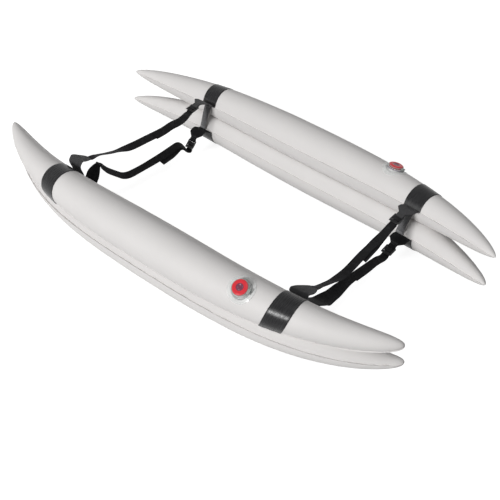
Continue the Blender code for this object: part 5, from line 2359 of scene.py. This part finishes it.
@dataclass(frozen=True)
class Lamp:
    """A soft rectangular lamp that looks at the object."""

    name: str
    azimuth: float
    elevation: float
    distance: float
    width: float
    height: float
    power: float
    aim: float = 0.1

    def build(self) -> None:
        """Hang the lamp."""
        back = direction(radians(self.azimuth), radians(self.elevation))
        data = bpy.data.lights.new(self.name, "AREA")
        data.shape = "RECTANGLE"
        data.size, data.size_y = self.width, self.height
        data.energy = self.power
        lamp = put_in_scene(self.name, data)
        lamp.location = back * self.distance + UP * self.aim
        lamp.rotation_mode = "QUATERNION"
        lamp.rotation_quaternion = (-back).to_track_quat("-Z", "Y")


@dataclass(frozen=True)
class Studio:
    """A white floor and world, soft lamps and the camera."""

    fill: float = 0.18
    floor_shade: float = 0.50
    floor_lift: float = 0.88
    floor_drop: float = 0.0004
    lamps: tuple[Lamp, ...] = (
        Lamp("key_softbox", -4.5, 21.5, 20.0, 4.5, 4.5, 2850.0),
        Lamp("top_softbox", 60.0, 78.0, 12.0, 6.0, 6.0, 260.0),
    )

    def world(self) -> None:
        """White where the camera, gloss or glass looks, and a plain fill light elsewhere."""
        world = bpy.data.worlds.new("white_studio")
        bpy.context.scene.world = world
        world.use_nodes = True
        sheet = NodeSheet(world.node_tree)
        strength = sheet.spread(sheet.background_rays(), 0.0, 1.0, self.fill, 1.0)
        sheet.fill(world.node_tree.nodes["Background"], Strength=strength, Color=WHITE)

    def floor(self) -> None:
        """A floor whose own colour is white to the camera, and which keeps the object's shadow."""
        half = FLOOR_SIZE / 2
        mesh = bpy.data.meshes.new("studio_floor")
        signs = ((-1, -1), (1, -1), (1, 1), (-1, 1))
        corners = [(x * half, y * half, -self.floor_drop) for x, y in signs]
        mesh.from_pydata(corners, [], [(0, 1, 2, 3)])
        floor = put_in_scene("studio_floor", mesh)
        material = bpy.data.materials.new("white_floor")
        material.use_nodes = True
        sheet = NodeSheet(material.node_tree)
        sheet.fill(
            material.node_tree.nodes["Principled BSDF"],
            Base_Color=(self.floor_shade,) * 3 + (1.0,),
            Roughness=0.9,
            Specular_IOR_Level=0.0,
            Emission_Color=WHITE,
            Emission_Strength=sheet.math("MULTIPLY", sheet.background_rays(), self.floor_lift),
        )
        mesh.materials.append(material)

    def camera(self) -> None:
        """The camera at the photograph's angle."""
        back = direction(CAMERA_AZIMUTH, CAMERA_ELEVATION)
        right = UP.cross(back).normalized()
        data = bpy.data.cameras.new("photo_camera")
        data.lens = CAMERA_LENS
        data.sensor_width = SENSOR_WIDTH
        camera = put_in_scene("photo_camera", data)
        camera.matrix_world = standing(CAMERA_PLACE, right, back.cross(right), back)
        bpy.context.scene.camera = camera

    def build(self) -> None:
        """Set up the whole stage."""
        bpy.context.scene.view_settings.view_transform = "Standard"
        self.camera()
        self.world()
        self.floor()
        for lamp in self.lamps:
            lamp.build()


def write_sizes() -> None:
    """Bring the view layer up to date."""
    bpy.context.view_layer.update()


def main() -> None:
    """Make the finished model and its stage."""
    logging.basicConfig(level=logging.INFO, format="%(message)s")
    Studio().build()
    for shape in SHAPES.values():
        for level in Level:
            TubeSkin(shape, level).build()
            for end in End:
                Band(shape, level, end).build()
        for end in End:
            Tie(shape, end).build()
        Valve(shape).build()
    for site in SITES:
        lock = LadderLock(site)
        NearTab(site).build()
        FarTab(lock).build()
        lock.build()
        Strap(lock).build()
    write_sizes()


if __name__ == "__main__":
    main()
